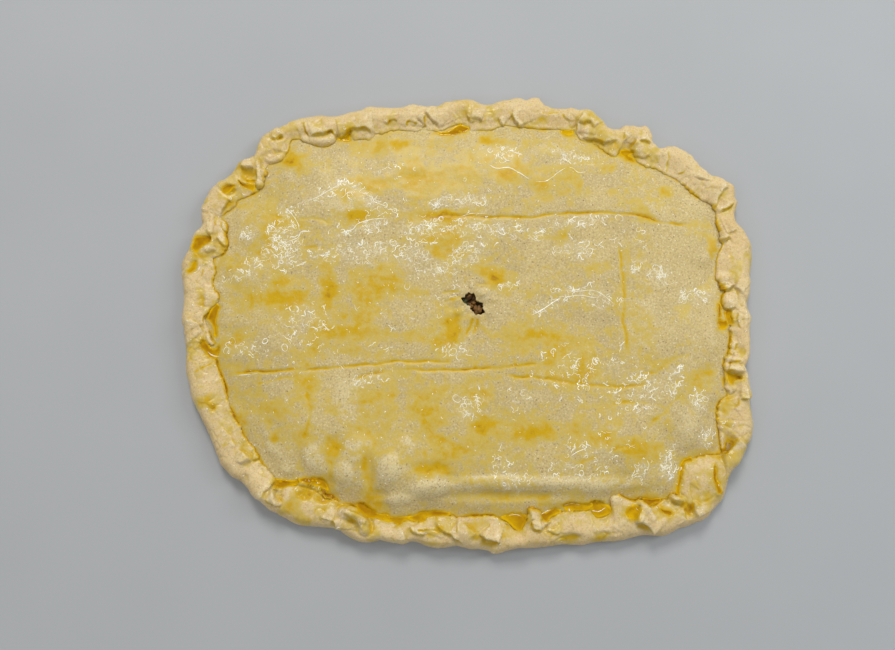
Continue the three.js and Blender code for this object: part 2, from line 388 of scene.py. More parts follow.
# Outer edge of the rim in the photograph, clockwise from the left
RIM_OUTLINE = [
    (181.5, 269), (182, 264), (184, 260), (188, 252), (190, 247), (192, 239), (194, 235), (196, 232),
    (200, 230), (203, 226), (203, 222), (202, 216), (202.5, 210), (204, 205), (208.5, 195), (211, 191),
    (214, 187), (217, 184.5), (221, 182.5), (226, 180.5), (231, 175.5), (236, 169), (237.5, 165.5),
    (239.5, 163), (243, 162.8), (247, 162), (251, 160), (254, 158), (256.5, 154), (257.5, 150), (258, 146),
    (260, 142), (262.5, 138), (266, 135), (270, 133), (275, 131), (281, 129.5), (286, 127), (289, 124.5),
    (292, 122.5), (297, 121), (302, 119.2), (312, 118), (317, 116.8), (322, 116.5), (326, 117.8),
    (330, 118.8), (335, 119), (338, 118.5), (341, 117), (345, 115.5), (350, 114), (360, 112), (364, 110.5),
    (367, 108.8), (371, 108), (381, 108.3), (390, 109), (400, 108.4), (405, 108), (408, 106.5),
    (410, 105.3), (414, 105), (418, 106), (422, 106.8), (430, 107), (433, 107.8), (436, 108), (440, 107),
    (442, 105.5), (444, 104.2), (448, 103.2), (458, 102), (463, 101.2), (467, 100.2), (471, 100.2),
    (474, 101.2), (477, 102.8), (481, 104.6), (485, 105.6), (489, 105.4), (493, 104.2), (497, 102.8),
    (501, 101.8), (506, 101.3), (510, 100.3), (514, 99), (520, 99), (526, 101.2), (530, 99), (538, 99),
    (541, 103), (546, 107), (550, 108.5), (554, 109.6), (560, 110), (566, 110), (570, 108.7), (573, 110),
    (578, 111.3), (582, 110.9), (586, 110.3), (590, 111.3), (593, 114), (595, 117.5), (599, 120),
    (602, 123.5), (604, 126.5), (606.5, 129.3), (610, 130), (615, 130), (620, 129.8), (621.5, 127.5),
    (623, 126.2), (626, 126), (629, 126.8), (632, 126.2), (638, 127.8), (641, 127), (644, 126),
    (647, 127.2), (649.5, 130), (651, 134), (652, 138), (650.8, 142.5), (654, 145.3), (657, 148.3),
    (660, 149.8), (663, 149.1), (667, 147.6), (671, 147), (675, 147.5), (680, 149.8), (685, 152),
    (692.5, 156.5), (694, 160.5), (696.5, 163), (699, 167), (702, 170.5), (706, 173.5), (711, 177.5),
    (716, 178.5), (720, 180.5), (725, 182.5), (730, 184.8), (733, 186.8), (734, 190), (734, 196),
    (733.5, 199.5), (737, 202.8), (736.3, 206.5), (734, 214), (733.5, 218), (734, 222), (735.5, 225),
    (738, 227.5), (741, 230), (743.5, 232.5), (745, 235.5), (748.5, 241.5), (750, 245.5), (751.2, 255),
    (751, 262), (750.3, 270), (749, 279), (749.3, 283), (748.5, 292), (747, 302), (747, 307), (748.5, 315),
    (750, 318), (749.5, 322), (748, 331), (748.5, 346), (749, 350), (748, 359), (746.5, 362.5),
    (744.8, 366), (744.3, 368.5), (745.5, 371), (747.5, 378), (750, 387.5), (751.5, 395), (751, 398),
    (749, 399.5), (748, 402), (749.5, 411), (752, 421), (752, 433), (750, 441), (748, 444), (744.5, 447),
    (742, 450), (740.5, 454), (736.5, 461.5), (730.5, 469), (727, 477), (726, 487), (725, 492),
    (723.5, 497), (721, 501), (717, 505), (713.5, 508.5), (709.5, 514.5), (706, 518), (701.5, 520.5),
    (697, 521.5), (692, 523.5), (686, 526.3), (680, 528), (672, 532), (667, 534.5), (662, 536),
    (656, 535.6), (646, 535), (640, 535.5), (634, 537), (628, 538.5), (622, 540.3), (616, 541),
    (604, 541.3), (597, 541.9), (590, 543), (582, 545.3), (577, 545), (564, 544.7), (558, 545.3),
    (550, 546.4), (537, 548), (530, 548.3), (518, 548), (513, 549), (508, 550.5), (500, 552.9),
    (495, 553.5), (491, 553), (489.5, 551), (484, 550), (478, 549.3), (470, 549), (462, 546.5),
    (458, 545.8), (453, 546), (448, 547), (442, 548.3), (435, 548.2), (424, 545.2), (418, 543),
    (413, 541.9), (410, 542), (406, 544), (402, 545), (398, 544), (388, 542), (384, 540.5), (380, 540),
    (371, 542), (366, 542.3), (361, 542.2), (357, 541), (353, 539.3), (349, 537), (345, 534.2),
    (341, 531.3), (337, 529.5), (332, 528.6), (318, 527), (305, 525.8), (300, 525), (291, 521), (281, 516),
    (271, 510), (263, 502), (259, 499), (252, 493.5), (250, 490.3), (247, 486), (241, 480.5), (234, 477),
    (230.5, 474.5), (227, 471), (221.5, 465), (219.5, 460.5), (216, 450), (212, 441), (207, 430),
    (202, 418), (197.5, 409.5), (193.5, 401), (191.5, 396), (190.3, 391), (190, 386), (187.5, 376),
    (186, 366), (187, 356), (186.7, 346), (186, 336), (183.8, 326), (183.2, 321), (184, 311), (184.5, 300),
    (183.7, 288), (182, 275),
]

# Lip of the rim where its folds end on the lid, clockwise from the left
RIM_LIP = [
    (215.5, 269), (215, 265), (212.5, 261), (213, 257), (218, 257), (221, 255), (224.5, 253), (225.5, 250),
    (227, 247), (227, 243), (226, 238), (225, 233), (226.5, 230), (226, 225), (224, 221), (222, 217.5),
    (224, 214), (228, 211), (231, 209.5), (235, 206), (236, 203), (238, 200), (242, 198.5), (247, 196),
    (254, 193), (258, 190.5), (260, 187), (262, 179), (264, 174), (265.5, 170), (266, 164.5), (270, 164),
    (276, 162), (281, 160.5), (285, 156), (287, 152), (289, 148), (290, 140.5), (296, 139), (303, 139.5),
    (311, 143), (317, 146), (322, 147), (327, 146), (331, 142.5), (336, 139.5), (340, 138), (345, 139.5),
    (352, 140.3), (358, 140), (364, 139.3), (370, 138.7), (374, 135.5), (376, 133.5), (386, 132),
    (390, 130.3), (400, 130), (416, 130.8), (420, 130), (424, 129), (430, 130.5), (438, 130.3), (444, 130),
    (449, 127.5), (455, 124.7), (460, 123.5), (465, 124), (468, 126.5), (470, 130), (478, 129.8),
    (490, 130), (494, 128.5), (499, 126), (504, 124.5), (510, 125.3), (518, 126.5), (528, 126.7),
    (533, 127.2), (538, 128.6), (550, 128.6), (560, 129), (569, 129.8), (576, 131.5), (578, 135),
    (580, 139), (584, 140.8), (588, 142), (593, 143), (598, 146), (602, 149), (605, 152), (608, 154),
    (612, 156), (616, 156.5), (619, 154), (621, 150.5), (627, 149.8), (633, 152.5), (635, 158),
    (638, 162.5), (647, 166.2), (653, 167.3), (658, 169), (663, 171.5), (669, 175.5), (674, 177.5),
    (678, 180), (683, 184), (688, 188.5), (693, 193), (698, 196.5), (703, 199), (708, 201.3), (712, 203.5),
    (715.5, 206.3), (716, 212), (716.5, 222), (718, 227), (721, 230), (723, 234), (724, 238), (723, 243),
    (720.5, 248), (717.5, 255.5), (716, 262), (716.3, 270), (715.5, 279), (718, 281), (721, 282),
    (723.5, 285.5), (726, 289), (724.5, 292), (721.5, 300), (722, 306), (726, 310), (729, 316), (731, 323),
    (730, 330), (731, 338), (730.5, 345), (730, 349), (728.5, 353), (725.5, 360), (724.3, 364),
    (724.5, 368.5), (723.8, 373), (724.2, 378), (725.5, 387), (727.5, 394), (722, 398), (718.5, 404),
    (717.5, 414), (718, 424), (720, 432), (721, 444), (722, 453), (713, 454.3), (708, 455), (696, 457.3),
    (690, 459), (684, 462), (682, 467), (681, 474), (680, 481), (678.5, 487), (679, 494), (672, 494.5),
    (669, 499), (662, 500), (656, 505), (650, 507.5), (645, 503.5), (640, 501.5), (632, 500), (626, 498.5),
    (620, 495), (613, 497), (610, 504), (611, 511), (604, 516), (597, 517), (592, 511), (585, 510),
    (575, 511), (567, 511), (562, 512), (556, 514), (550, 519), (545, 520), (541, 513), (536, 509.5),
    (530, 509), (527, 514), (526, 520), (521, 529), (515, 529), (509, 523), (503, 519.5), (497, 517),
    (490, 515.5), (480, 515.5), (470, 516), (464, 517), (458, 518), (452, 516.5), (440, 515.8),
    (428, 516.5), (425, 518.5), (423, 521), (414, 521), (408, 520), (401, 521.5), (398, 523.5),
    (392, 522.5), (382, 520), (377, 518.3), (372, 518), (367, 516), (363, 512.5), (358, 508.5),
    (352, 505.5), (346, 504), (340, 502), (332, 497), (326, 495), (321, 491), (315, 487), (308, 484),
    (300, 482), (296, 485), (290, 486.5), (284, 488), (277, 487.5), (273, 483), (272, 477), (269, 472.5),
    (266, 469), (263, 465), (258.5, 457), (256.5, 452), (254, 447.5), (251, 443.5), (247.5, 440),
    (244, 435), (241, 430), (239, 425), (237, 420), (232, 412), (230, 408), (228.8, 403), (226.5, 393),
    (224, 383), (222, 378), (218.5, 368), (217, 363), (216, 358.5), (211, 357.5), (207, 353), (203, 346),
    (204, 341), (209, 341), (213, 346), (216, 344), (211, 338), (209, 332), (207, 325), (205, 320),
    (208, 312), (212, 308.5), (216, 306), (219, 300), (220, 296), (218.5, 293.5), (215.5, 291),
    (213.5, 287), (212.7, 279), (216.5, 272),
]

# Folds of the rim: pixels along each, height of the side to the left of the walk, depth of the crease
RIM_FOLDS = [
    ([(208, 221), (207, 229), (209, 236)], 1.0, 1.0), ([(217, 216), (215.5, 222), (215, 227)], 0.3, 0.5),
    ([(220, 219), (221, 226), (223, 231), (223.5, 236)], 0.3, 0.7),
    ([(215.5, 238.5), (220, 242), (226, 247.5)], 0.9, 1.0),
    ([(206, 253.5), (211, 251.5), (215.5, 250)], 0.7, 0.8),
    ([(203, 268), (202.5, 272), (200, 276.5)], 0.3, 0.5),
    ([(203, 264), (205, 264), (208, 264.7)], 0.3, 0.5), ([(207, 270), (211, 269), (215, 268)], 0.2, 0.4),
    ([(236, 186), (230, 190), (224, 194.5)], -0.9, 1.2),
    ([(218.5, 217.5), (220.5, 211.5), (224, 206.5), (226.5, 203), (229.5, 201), (232, 203)], 0.7, 0.9),
    ([(240.5, 188), (240.5, 192), (241, 197)], 0.2, 0.4),
    ([(240, 168.3), (247, 168.3), (254, 167.5)], 1.2, 1.2),
    ([(255, 167), (255.7, 178), (255, 189)], 1.2, 0.5),
    ([(209.5, 307.5), (206, 313), (203, 319), (203, 325)], -0.8, 0.6),
    ([(186, 318), (190, 319), (194, 321), (198, 324), (201, 328.5), (203.5, 331.5)], -1.0, 0.8),
    ([(203.5, 331), (203.7, 337), (202.5, 343)], -0.4, 0.6),
    ([(216, 361), (205, 366), (200, 369), (193, 373)], 0.2, 0.4),
    ([(201, 402), (206, 403), (210, 405.5), (213, 409)], 0.2, 0.5),
    ([(224, 400), (223.5, 405), (222, 410)], 0.2, 0.4),
    ([(221, 426), (226, 431), (231, 437), (235, 443), (237.5, 447.5)], -0.5, 0.7),
    ([(238, 448.5), (243, 452), (247, 455.5), (250.3, 459.5)], -1.1, 1.1),
    ([(251.5, 451), (251, 456), (251, 460.5)], 0.2, 0.9),
    ([(251.5, 460.5), (246.5, 461.5), (241, 462.8), (236, 461)], -0.9, 0.7),
    ([(251, 460.3), (255, 459.6), (259, 458.8)], 0.5, 0.7),
    ([(275, 478), (273, 483), (269, 488), (266, 491), (264.5, 496), (265, 499)], -0.9, 1.2),
    ([(279, 489.5), (275, 492), (273.5, 496.5), (276, 500.5), (280, 503)], -1.1, 0.5),
    ([(266, 498.5), (270, 502), (275, 505), (281, 506)], 0.8, 0.8),
    ([(300, 482.5), (308, 485.5), (315, 488), (321, 492), (326, 495), (332, 496.5)], 1.2, 0.8),
    ([(299, 490), (303, 495), (308, 499.5)], 0.2, 0.7), ([(320, 517), (327, 519.5), (334, 522)], 0.5, -0.4),
    ([(333, 520.5), (334.5, 525), (334, 529)], 0.9, 0.7),
    ([(341, 514), (347, 516.5), (352, 518.5), (357, 523), (360, 528), (364.5, 531.5)], 1.0, 0.8),
    ([(341, 509), (350, 510.3), (358, 512.5), (365, 517.5), (369, 522.5), (369.7, 527),
      (367, 531)], -0.9, 0.7),
    ([(399, 523.5), (402, 528.5), (404.5, 534), (405.5, 541)], -0.8, 1.2),
    ([(390, 537), (393, 540), (396, 542.5)], 0.2, 0.7),
    ([(408.5, 527), (411, 531), (414.5, 533.3), (420, 534.8), (426, 536)], 1.2, 0.9),
    ([(413, 530), (422, 530.5), (432, 530.5), (440, 532.5), (447, 537)], 0.4, 0.6),
    ([(433, 521), (437, 526), (441, 530.5), (451, 536), (456.5, 539), (461, 543), (465, 547)], 1.1, 1.2),
    ([(456.7, 520), (457.2, 527), (456, 534)], 0.6, 0.5),
    ([(458, 519), (466, 525), (470, 529), (478, 534.3)], -0.7, 0.9),
    ([(479, 533.5), (484, 537), (490, 540.5), (497, 542), (501.5, 543.5)], 1.7, 1.4),
    ([(530, 520), (532, 526.5), (536, 530), (540, 531), (543.3, 530.5)], 1.3, 1.1),
    ([(543.3, 530.5), (544.5, 526.5), (548, 525), (552, 522.5)], 0.9, 0.9),
    ([(546, 531), (551, 533), (557, 534.5), (561, 535.5)], 0.7, 0.7),
    ([(527, 509.5), (530, 515), (530.5, 520)], 0.8, 0.5),
    ([(637, 497), (641, 500.5), (645, 503.5), (648.5, 507), (652, 511)], -0.9, 0.8),
    ([(639, 506), (637.5, 511), (636, 516), (634, 521)], 0.8, 0.3),
    ([(611, 525), (615, 528), (618.5, 531.5)], 0.3, 0.6),
    ([(633, 523.5), (640, 522.5), (646, 525.5), (652, 530.5), (657.5, 535)], 1.4, 0.9),
    ([(650, 510), (654, 515), (660, 518.3)], 0.2, 0.5),
    ([(671, 496.5), (674, 501), (679, 504), (685, 502.5)], 1.6, 1.2),
    ([(672, 494.5), (678, 497), (684, 499.5)], -0.4, 0.6),
    ([(694, 500), (692.5, 505), (693.5, 511), (696.5, 517.5)], 1.3, 0.9),
    ([(683, 508), (685, 514), (688, 519.5)], -0.7, 0.6),
    ([(690, 482), (694.5, 487), (699.5, 491)], 0.2, 0.4),
    ([(715, 458.5), (715, 465), (714.3, 471), (714.2, 476), (716, 481), (719, 486),
      (720.5, 493)], -0.6, 1.5),
    ([(738, 437), (735, 443), (731, 449), (727, 453), (721.5, 455)], 1.8, 1.1),
    ([(735, 420), (731, 421), (724, 420)], 0.2, 0.3),
    ([(738, 396), (738.5, 401), (737, 406), (734, 409)], 0.4, 0.7),
    ([(740, 398.5), (745, 399.8), (749, 399.7)], 1.0, 0.9),
    ([(735, 383), (736, 387), (734.5, 390.5), (732, 393), (728.5, 395)], -0.6, 1.2),
    ([(742, 370), (744, 375), (745.5, 379.5)], 0.2, 0.6),
    ([(728, 363.7), (733, 363), (738, 362), (741.5, 361)], 0.2, 1.5),
    ([(725, 369), (729, 371), (734, 372.7), (739, 373), (743.5, 370.5)], 1.4, 0.9),
    ([(746, 351), (744, 356), (742, 360)], 0.2, 0.8),
    ([(735, 351.5), (736, 357), (738.5, 359.5)], 0.3, 0.9),
    ([(739, 341.5), (737, 346), (735.3, 350.5)], -0.5, 1.2),
    ([(728, 353.5), (731, 353), (734, 355)], 0.3, 0.6),
    ([(739, 311), (738, 318), (739, 324), (741.5, 330)], 0.4, 0.6),
    ([(731, 311), (732, 317), (733, 323)], 0.7, 0.3),
    ([(736, 306), (733, 308.7), (729, 310), (724, 307.5)], -0.7, 0.6),
    ([(737, 290), (737, 296), (738, 301), (736.5, 306)], -0.4, 1.3),
    ([(734, 287), (737.5, 289), (743.5, 294.5)], 0.6, 0.8),
    ([(719, 281), (722, 283.5), (725, 288), (727, 289.5), (731, 287), (736, 284)], 1.4, 1.4),
    ([(723, 243.5), (725, 240.3), (728, 238.5), (732, 237.3)], 1.3, 1.5),
    ([(727, 234), (730, 232.5), (737.5, 229)], 0.4, 0.7),
    ([(719, 212.5), (723, 210), (728, 208.3), (732, 205), (735.3, 201.3)], 0.9, 1.1),
    ([(729.5, 187.3), (724, 190), (721, 194), (718.5, 199), (718, 205), (717.5, 210)], -0.8, 1.1),
    ([(694, 176), (700, 178.7), (705, 180.5), (710, 181)], 0.6, 0.5),
    ([(711, 180), (711, 185), (711, 190)], 0.2, 0.3),
    ([(669.5, 150), (669, 156), (668, 163), (667.5, 169), (668.3, 173.5)], -0.3, 1.2),
    ([(677, 173.8), (682, 172.3), (689, 165)], 0.2, 0.4),
    ([(624.3, 131.5), (624.3, 137), (623, 140.5)], 0.5, 1.1),
    ([(637, 139), (634, 143), (632, 147), (631, 150)], 0.9, 1.3),
    ([(651, 142), (647, 142.5), (639, 139.5)], -0.6, 0.5),
    ([(634, 155), (640, 156.3), (645, 156.5), (650, 154.5)], 0.6, 0.5),
    ([(614.5, 143), (611, 147), (607, 152.5)], 0.3, 0.9),
    ([(581, 137.5), (588, 137.5), (595, 138), (603.5, 141), (608, 141.5), (618.5, 139.7)], 0.9, 1.0),
    ([(582, 125.3), (585.5, 123.5), (589.5, 123.2), (592, 125), (594.5, 128.5)], 0.8, 0.9),
    ([(583.5, 112.5), (580, 118), (577.7, 122.5), (577, 128), (576.3, 132.5)], 1.0, 1.9),
    ([(562, 112), (566, 117), (571, 121), (576, 121)], 0.2, 0.5),
    ([(541, 112), (548, 114), (554, 113.5), (559, 110.8)], -0.3, 0.5),
    ([(511, 112), (513, 117), (516, 121.5), (519.5, 126)], 1.0, 1.4),
    ([(498, 117.5), (500, 121), (503.5, 124.5)], 0.6, 0.8),
    ([(470.5, 118.5), (475, 118), (479, 118.3), (482.5, 120)], 0.8, 0.7),
    ([(474, 121), (474, 124), (474.5, 128)], 0.2, 0.4),
    ([(466, 110), (467.5, 115), (469.3, 118.5), (469.5, 122)], 0.8, 1.6),
    ([(423.5, 112), (427, 115), (433.5, 121), (437, 124), (439.5, 127.5)], 0.8, 0.9),
    ([(424.7, 113.5), (424.7, 120), (424, 126.5)], -0.6, 0.8),
    ([(422.5, 111.8), (419, 114.3), (416.5, 118)], 0.7, 1.0),
    ([(406, 126), (406, 122.3), (410, 121), (419, 123)], 0.3, 0.5),
    ([(388, 124.5), (390, 121.3), (394, 119.3), (398, 119.8)], 0.4, 0.5),
    ([(373, 112), (372.5, 120), (373.5, 127), (375, 132.5)], -0.4, 0.6),
    ([(336, 136.5), (341, 137), (345, 134), (349, 130.3), (362, 127.3), (367, 128.5),
      (371.5, 135)], 0.9, 0.7),
    ([(309.5, 137.5), (315, 135), (322, 133), (329.5, 131), (333, 133.5), (336, 137)], 0.9, 0.8),
    ([(304, 121), (304.5, 128), (307, 133), (309.7, 137.5)], 0.4, 0.8),
    ([(270, 138.5), (277, 138), (284, 134.5)], 1.0, 1.0),
    ([(270, 150), (276, 150), (287.5, 152.7)], 0.2, 0.5),
    ([(296, 128), (298.5, 132), (301, 136.5)], 0.2, 0.4),
]

# Hollows and swellings of the rim: pixel, half sizes in pixels, height
RIM_DENTS = [
    (229, 189.5, 7, 4.5, -2.2), (247, 175, 8, 6.5, -2.2), (278, 137, 7.5, 3, -1.6), (320, 124, 4, 4, -0.9),
    (336.5, 136, 2, 2.5, -1.5), (424, 126, 2, 2.5, -1.4), (201, 243, 8, 7, -2.2), (193, 266, 4, 6, -1.2),
    (201, 301, 4, 11, -1.4), (211, 316, 5, 5, -2.0), (214, 338, 4, 6, -1.5), (206, 346, 6, 5, -1.5),
    (213, 408.5, 2.5, 3, -0.9), (245, 478, 4, 4, -1.2), (271, 504, 5, 4, -1.0), (279, 497, 4.5, 5.5, -1.2),
    (287, 483, 11, 3.5, -1.6), (305, 495, 5, 5, -1.2), (324, 499, 8, 4, -1.2), (350, 524.5, 9, 5.5, -0.7),
    (460, 541, 5, 4, -1.4), (489, 544.5, 7, 5, -2.2), (513, 521, 10, 8, -2.0), (550, 515, 9, 5, -1.0),
    (572, 539, 11, 5, -2.2), (605, 536, 9, 5, -1.8), (633, 512, 5.5, 7, -1.2), (602, 508, 8, 7, -1.5),
    (646, 528, 8, 5, -1.8), (690, 510, 4.5, 6, -1.8), (730, 445, 5.5, 8, -2.4), (716, 478, 3, 12, -1.0),
    (733, 376, 6, 5, -1.0), (728.5, 392.5, 2, 2, -1.8), (742, 351, 5, 7, -1.2), (728.5, 316, 3.5, 7, -1.6),
    (723, 324, 4, 5, -1.6), (737, 297, 2.5, 6, -1.0), (627, 153, 7, 6, -1.4), (642, 133, 4, 5, -0.8),
    (537, 109, 2, 4, -0.5), (460, 128, 9, 4, -1.2), (346, 136, 5, 4, -1.2), (287, 157, 5, 5, -1.0),
    (462, 112, 6, 6, -0.8), (733, 262, 12, 17, 1.2), (729, 299, 5.5, 8.5, 0.7), (291, 492, 6, 7, 0.7),
    (361, 134, 10, 4, 0.6), (700, 475, 14, 14, 0.8), (742, 430, 8, 16, 0.8), (204, 395, 10, 26, 0.7),
    (628, 505, 5, 4, 0.6), (617, 499, 6, 5, 1.0), (590, 130, 5, 5, 0.6), (325, 140, 9, 5, 1.0),
]

# Rolled edges of the rim: pixels along each, half width in pixels, height
RIM_ROLLS = [
    ([(343, 512), (350, 513), (356, 515), (361, 519), (364.5, 524), (364.5, 529)], 4.5, 2.1),
    ([(300, 482.5), (307, 484), (314, 486), (320, 488.5), (325, 493), (331, 495.5)], 2.5, 1.6),
    ([(275, 488), (272, 492), (272.5, 497), (275.5, 501.5), (279, 504)], 2, 1.2),
    ([(207, 336), (210, 341), (213, 346), (217, 348)], 2.5, 0.8),
    ([(201, 248.5), (206, 247.5), (212, 244.5)], 3, 0.7),
    ([(212, 216), (212, 226), (211, 235), (213, 240)], 2, 0.7),
    ([(672, 496.5), (677, 499), (683, 500)], 3, 1.2),
    ([(641, 502), (645, 506), (649, 513), (653, 518)], 3, 0.9),
    ([(257.5, 163), (258.5, 172), (258, 185)], 2.5, 0.8),
    ([(723, 424), (723.5, 436), (724, 447)], 2.5, 0.6), ([(727, 358), (733, 359.5), (740, 361)], 2.5, 0.8),
    ([(728, 366), (735, 368.5), (742, 369)], 3.5, 0.8),
    ([(304, 138), (312, 139.5), (320, 141), (327, 139), (332, 136)], 4, 1.0),
    ([(268, 158), (274, 158), (280, 156)], 3.5, 0.8), ([(745, 303), (745.5, 315), (745.5, 330)], 2, 0.4),
    ([(426, 530), (433, 532), (441, 535)], 2.5, 0.6),
]

# Egg that stands in the folds and along the seam: outline of each pool in pixels
EGG_POOLS = [
    [(196, 238), (203, 237), (211, 236.5), (212, 241), (204, 246), (200, 249), (197, 252), (194, 251.5),
     (192.5, 247), (194, 242)],
    [(196, 261), (197, 265), (194, 270), (189, 273), (187, 271), (191, 267), (193, 262)],
    [(239, 181), (245, 184), (252, 184), (254.5, 187), (253, 190), (249, 189), (243, 186.5), (240, 184)],
    [(245, 180), (254, 179.5), (254, 182), (248, 182.5)],
    [(224, 194), (223.5, 189), (227, 186.5), (236, 186), (233, 189), (228, 193)],
    [(337, 138), (343, 137), (347, 133), (350, 130), (351, 132), (349, 136), (349, 139.5), (343, 139.5)],
    [(436, 131.5), (446, 131.5), (452, 129), (458, 125), (463, 125), (468, 127), (468, 130), (463, 131.5),
     (458, 133), (453, 135), (447, 134.5), (440, 134)],
    [(562, 130.5), (567, 129.8), (573, 130.5), (572, 133), (568, 134), (564, 133)],
    [(621, 150), (627, 149), (632, 150), (634, 152), (629, 154), (631, 156), (634, 158), (634, 160.5),
     (629, 159), (624, 155)],
    [(726, 310), (731, 310), (731, 316), (733, 323), (729, 323), (727, 318), (726, 314)],
    [(719, 320), (724, 321), (728, 320), (728, 325), (725, 328), (720, 328)],
    [(719, 304), (721, 305), (721, 312), (720.5, 318), (718.8, 317), (718.8, 310)],
    [(728, 373), (734, 374), (741, 376), (741, 379), (735, 380), (733, 384), (730, 383), (728, 378)],
    [(714, 466), (716, 472), (715.5, 479), (719.5, 485), (721, 492), (718, 493), (716, 486), (713, 480),
     (712.5, 472)],
    [(690, 458), (692, 460), (685.5, 463), (683.5, 468), (682.3, 475), (681.2, 482), (680, 488),
     (680, 494), (677.5, 494), (677.5, 487), (679, 481), (680, 474), (681, 467), (683, 461.5)],
    [(660, 509), (665, 510), (671, 512), (669, 514.5), (664, 513.5)],
    [(640, 498.5), (650, 499.5), (660, 499), (659, 502), (653, 503), (651, 505.5), (648.5, 505.5),
     (646, 503.5), (641, 501)],
    [(630, 507), (638, 505), (640, 508), (637, 514), (635, 518), (629, 518), (625, 513)],
    [(590, 502), (600, 501), (606, 505), (611, 509), (611, 513), (603, 516), (596, 516), (593, 510)],
    [(563, 505), (572, 502.5), (582, 504.5), (590, 503), (592, 506), (585, 510), (575, 510), (567, 510)],
    [(541, 512), (546, 514), (550, 511), (556, 508.5), (560, 510), (559, 513), (552, 515), (549, 519),
     (545, 521), (542, 517)],
    [(503, 516), (510, 513.5), (518, 513.5), (525, 515), (527, 519), (524, 525), (520, 530), (516, 529),
     (512, 525), (508, 521), (503, 519)],
    [(410, 517), (416, 514.5), (423, 511.5), (432, 511), (442, 511.5), (448, 513), (449, 515.3),
     (440, 515.7), (430, 516.7), (426, 517.7), (424.5, 521), (417, 521), (410, 519.5)],
    [(358, 503), (364, 503), (368, 508), (375, 511), (378, 514), (386, 514), (390, 516.5), (400, 517.5),
     (412, 516.5), (412, 520.5), (406, 520), (402, 522), (400, 525.5), (398, 524), (394, 522.5),
     (388, 521.5), (382, 519.5), (376, 518), (372, 518.5), (368, 517), (364, 513.5), (360, 510),
     (357, 507)],
    [(276, 480), (284, 480.5), (292, 481), (299, 479.5), (298, 483), (292, 485.5), (286, 486.5),
     (281, 487.5), (275, 486.5)],
    [(301, 478.5), (310, 477.5), (320, 477.5), (324, 480), (328, 487), (327, 490.5), (322, 487.5),
     (315, 485.5), (307, 483), (300, 481.5)],
    [(201, 342), (204, 340), (207, 345), (210, 349), (214, 349.5), (219, 346), (219, 349), (217, 354),
     (215, 357.5), (210, 357.5), (207, 354), (204, 350), (200, 347)],
    [(216, 304), (219, 307), (217, 313), (215.5, 320), (216.5, 328), (217, 335), (214.5, 335),
     (213.5, 328), (211, 321), (208, 318), (210, 312), (213, 307)],
]

# Bubbles standing on the egg: pixel, radius in pixels
EGG_BUBBLES = [
    (460, 131.5, 2.4), (312.5, 480.7, 1.3), (316.5, 481, 1.2), (319.5, 483.5, 1.2), (327.5, 490, 1.2),
    (280, 482, 1.5), (520, 513.5, 0.8), (383, 519, 0.8), (387, 516, 0.7), (389, 518.5, 0.8),
    (400.5, 518.5, 0.7), (407, 518.5, 0.7),
]

# Thin egg on the rim: pixel, half sizes in pixels, strength
RIM_PATCHES = [
    (712, 478, 16, 14, 0.4), (690, 502, 18, 9, 0.35), (736, 468, 9, 20, 0.3), (304, 494, 8, 5, 0.9),
    (322, 499, 11, 4, 0.9), (340, 504, 8, 4, 0.8), (543, 119.5, 6, 3.5, 0.7), (731, 256, 2.5, 5, 0.6),
    (740, 267, 2.5, 6, 0.5), (475, 525, 10, 4, 0.55), (478, 513, 10, 3, 0.5), (694, 485, 5, 5, 0.5),
    (617, 146, 6, 4, 0.5), (437, 530, 8, 3, 0.4), (725, 423, 8, 4, 0.45), (730, 333, 5, 6, 0.6),
    (213, 408, 3, 4, 0.6), (225, 445, 4, 2.5, 0.5), (290, 505, 7, 6, 0.5), (265, 470, 6, 6, 0.2),
    (320, 510, 9, 4, 0.35), (512, 535, 9, 4, 0.4), (560, 517, 8, 5, 0.4), (580, 522, 8, 3, 0.4),
    (660, 512, 8, 5, 0.5), (625, 512, 6, 8, 0.5), (197, 256, 6, 4, 0.9), (215, 338, 4, 5, 0.8),
    (598, 540, 9, 3, 0.5), (567, 541, 8, 3, 0.5), (430, 545, 9, 3, 0.5), (390, 522, 9, 3, 0.3),
    (705, 210, 6, 4, 0.2),
]

# Creases of the lid: pixels along each, depth
LID_CREASES = [
    ([(428, 216), (460, 215), (521, 217), (552, 214), (603, 212), (640, 215), (668, 223), (709, 223)], 0.9),
    ([(298, 217), (321, 219), (330, 224)], 0.4), ([(300, 247), (313, 247), (326, 247)], 0.3),
    ([(223, 374), (242, 371), (287, 370), (313, 369), (344, 366), (374, 364), (399, 361), (462, 362)], 0.8),
    ([(346, 381), (385, 371), (401, 369), (442, 370), (490, 368), (511, 366), (548, 363)], 0.7),
    ([(496, 372), (520, 376), (548, 379), (583, 384), (608, 386), (625, 386), (649, 384), (666, 381)], 0.6),
    ([(607, 403), (644, 403), (666, 406)], 0.5), ([(632, 376), (656, 372), (668, 362), (691, 354)], 0.4),
    ([(576, 464), (619, 448), (641, 442)], 0.3), ([(649, 423), (668, 409), (687, 392)], 0.3),
    ([(616, 237), (620, 252), (622, 270), (625, 294), (624, 318), (627, 340), (626, 357)], 0.4),
    ([(305, 387), (310, 406), (309, 422), (302, 440)], 0.5), ([(253, 384), (278, 379), (299, 376)], 0.3),
    ([(263, 188), (263.5, 197), (265, 206), (268, 213), (275, 216), (285, 218)], 0.25),
    ([(473, 318), (470, 326), (466, 336)], 0.6), ([(478, 318), (476, 326), (474, 334)], 0.6),
    ([(461, 297), (452, 299), (442, 303)], 0.5), ([(462, 292), (452, 291), (440, 292)], 0.4),
]

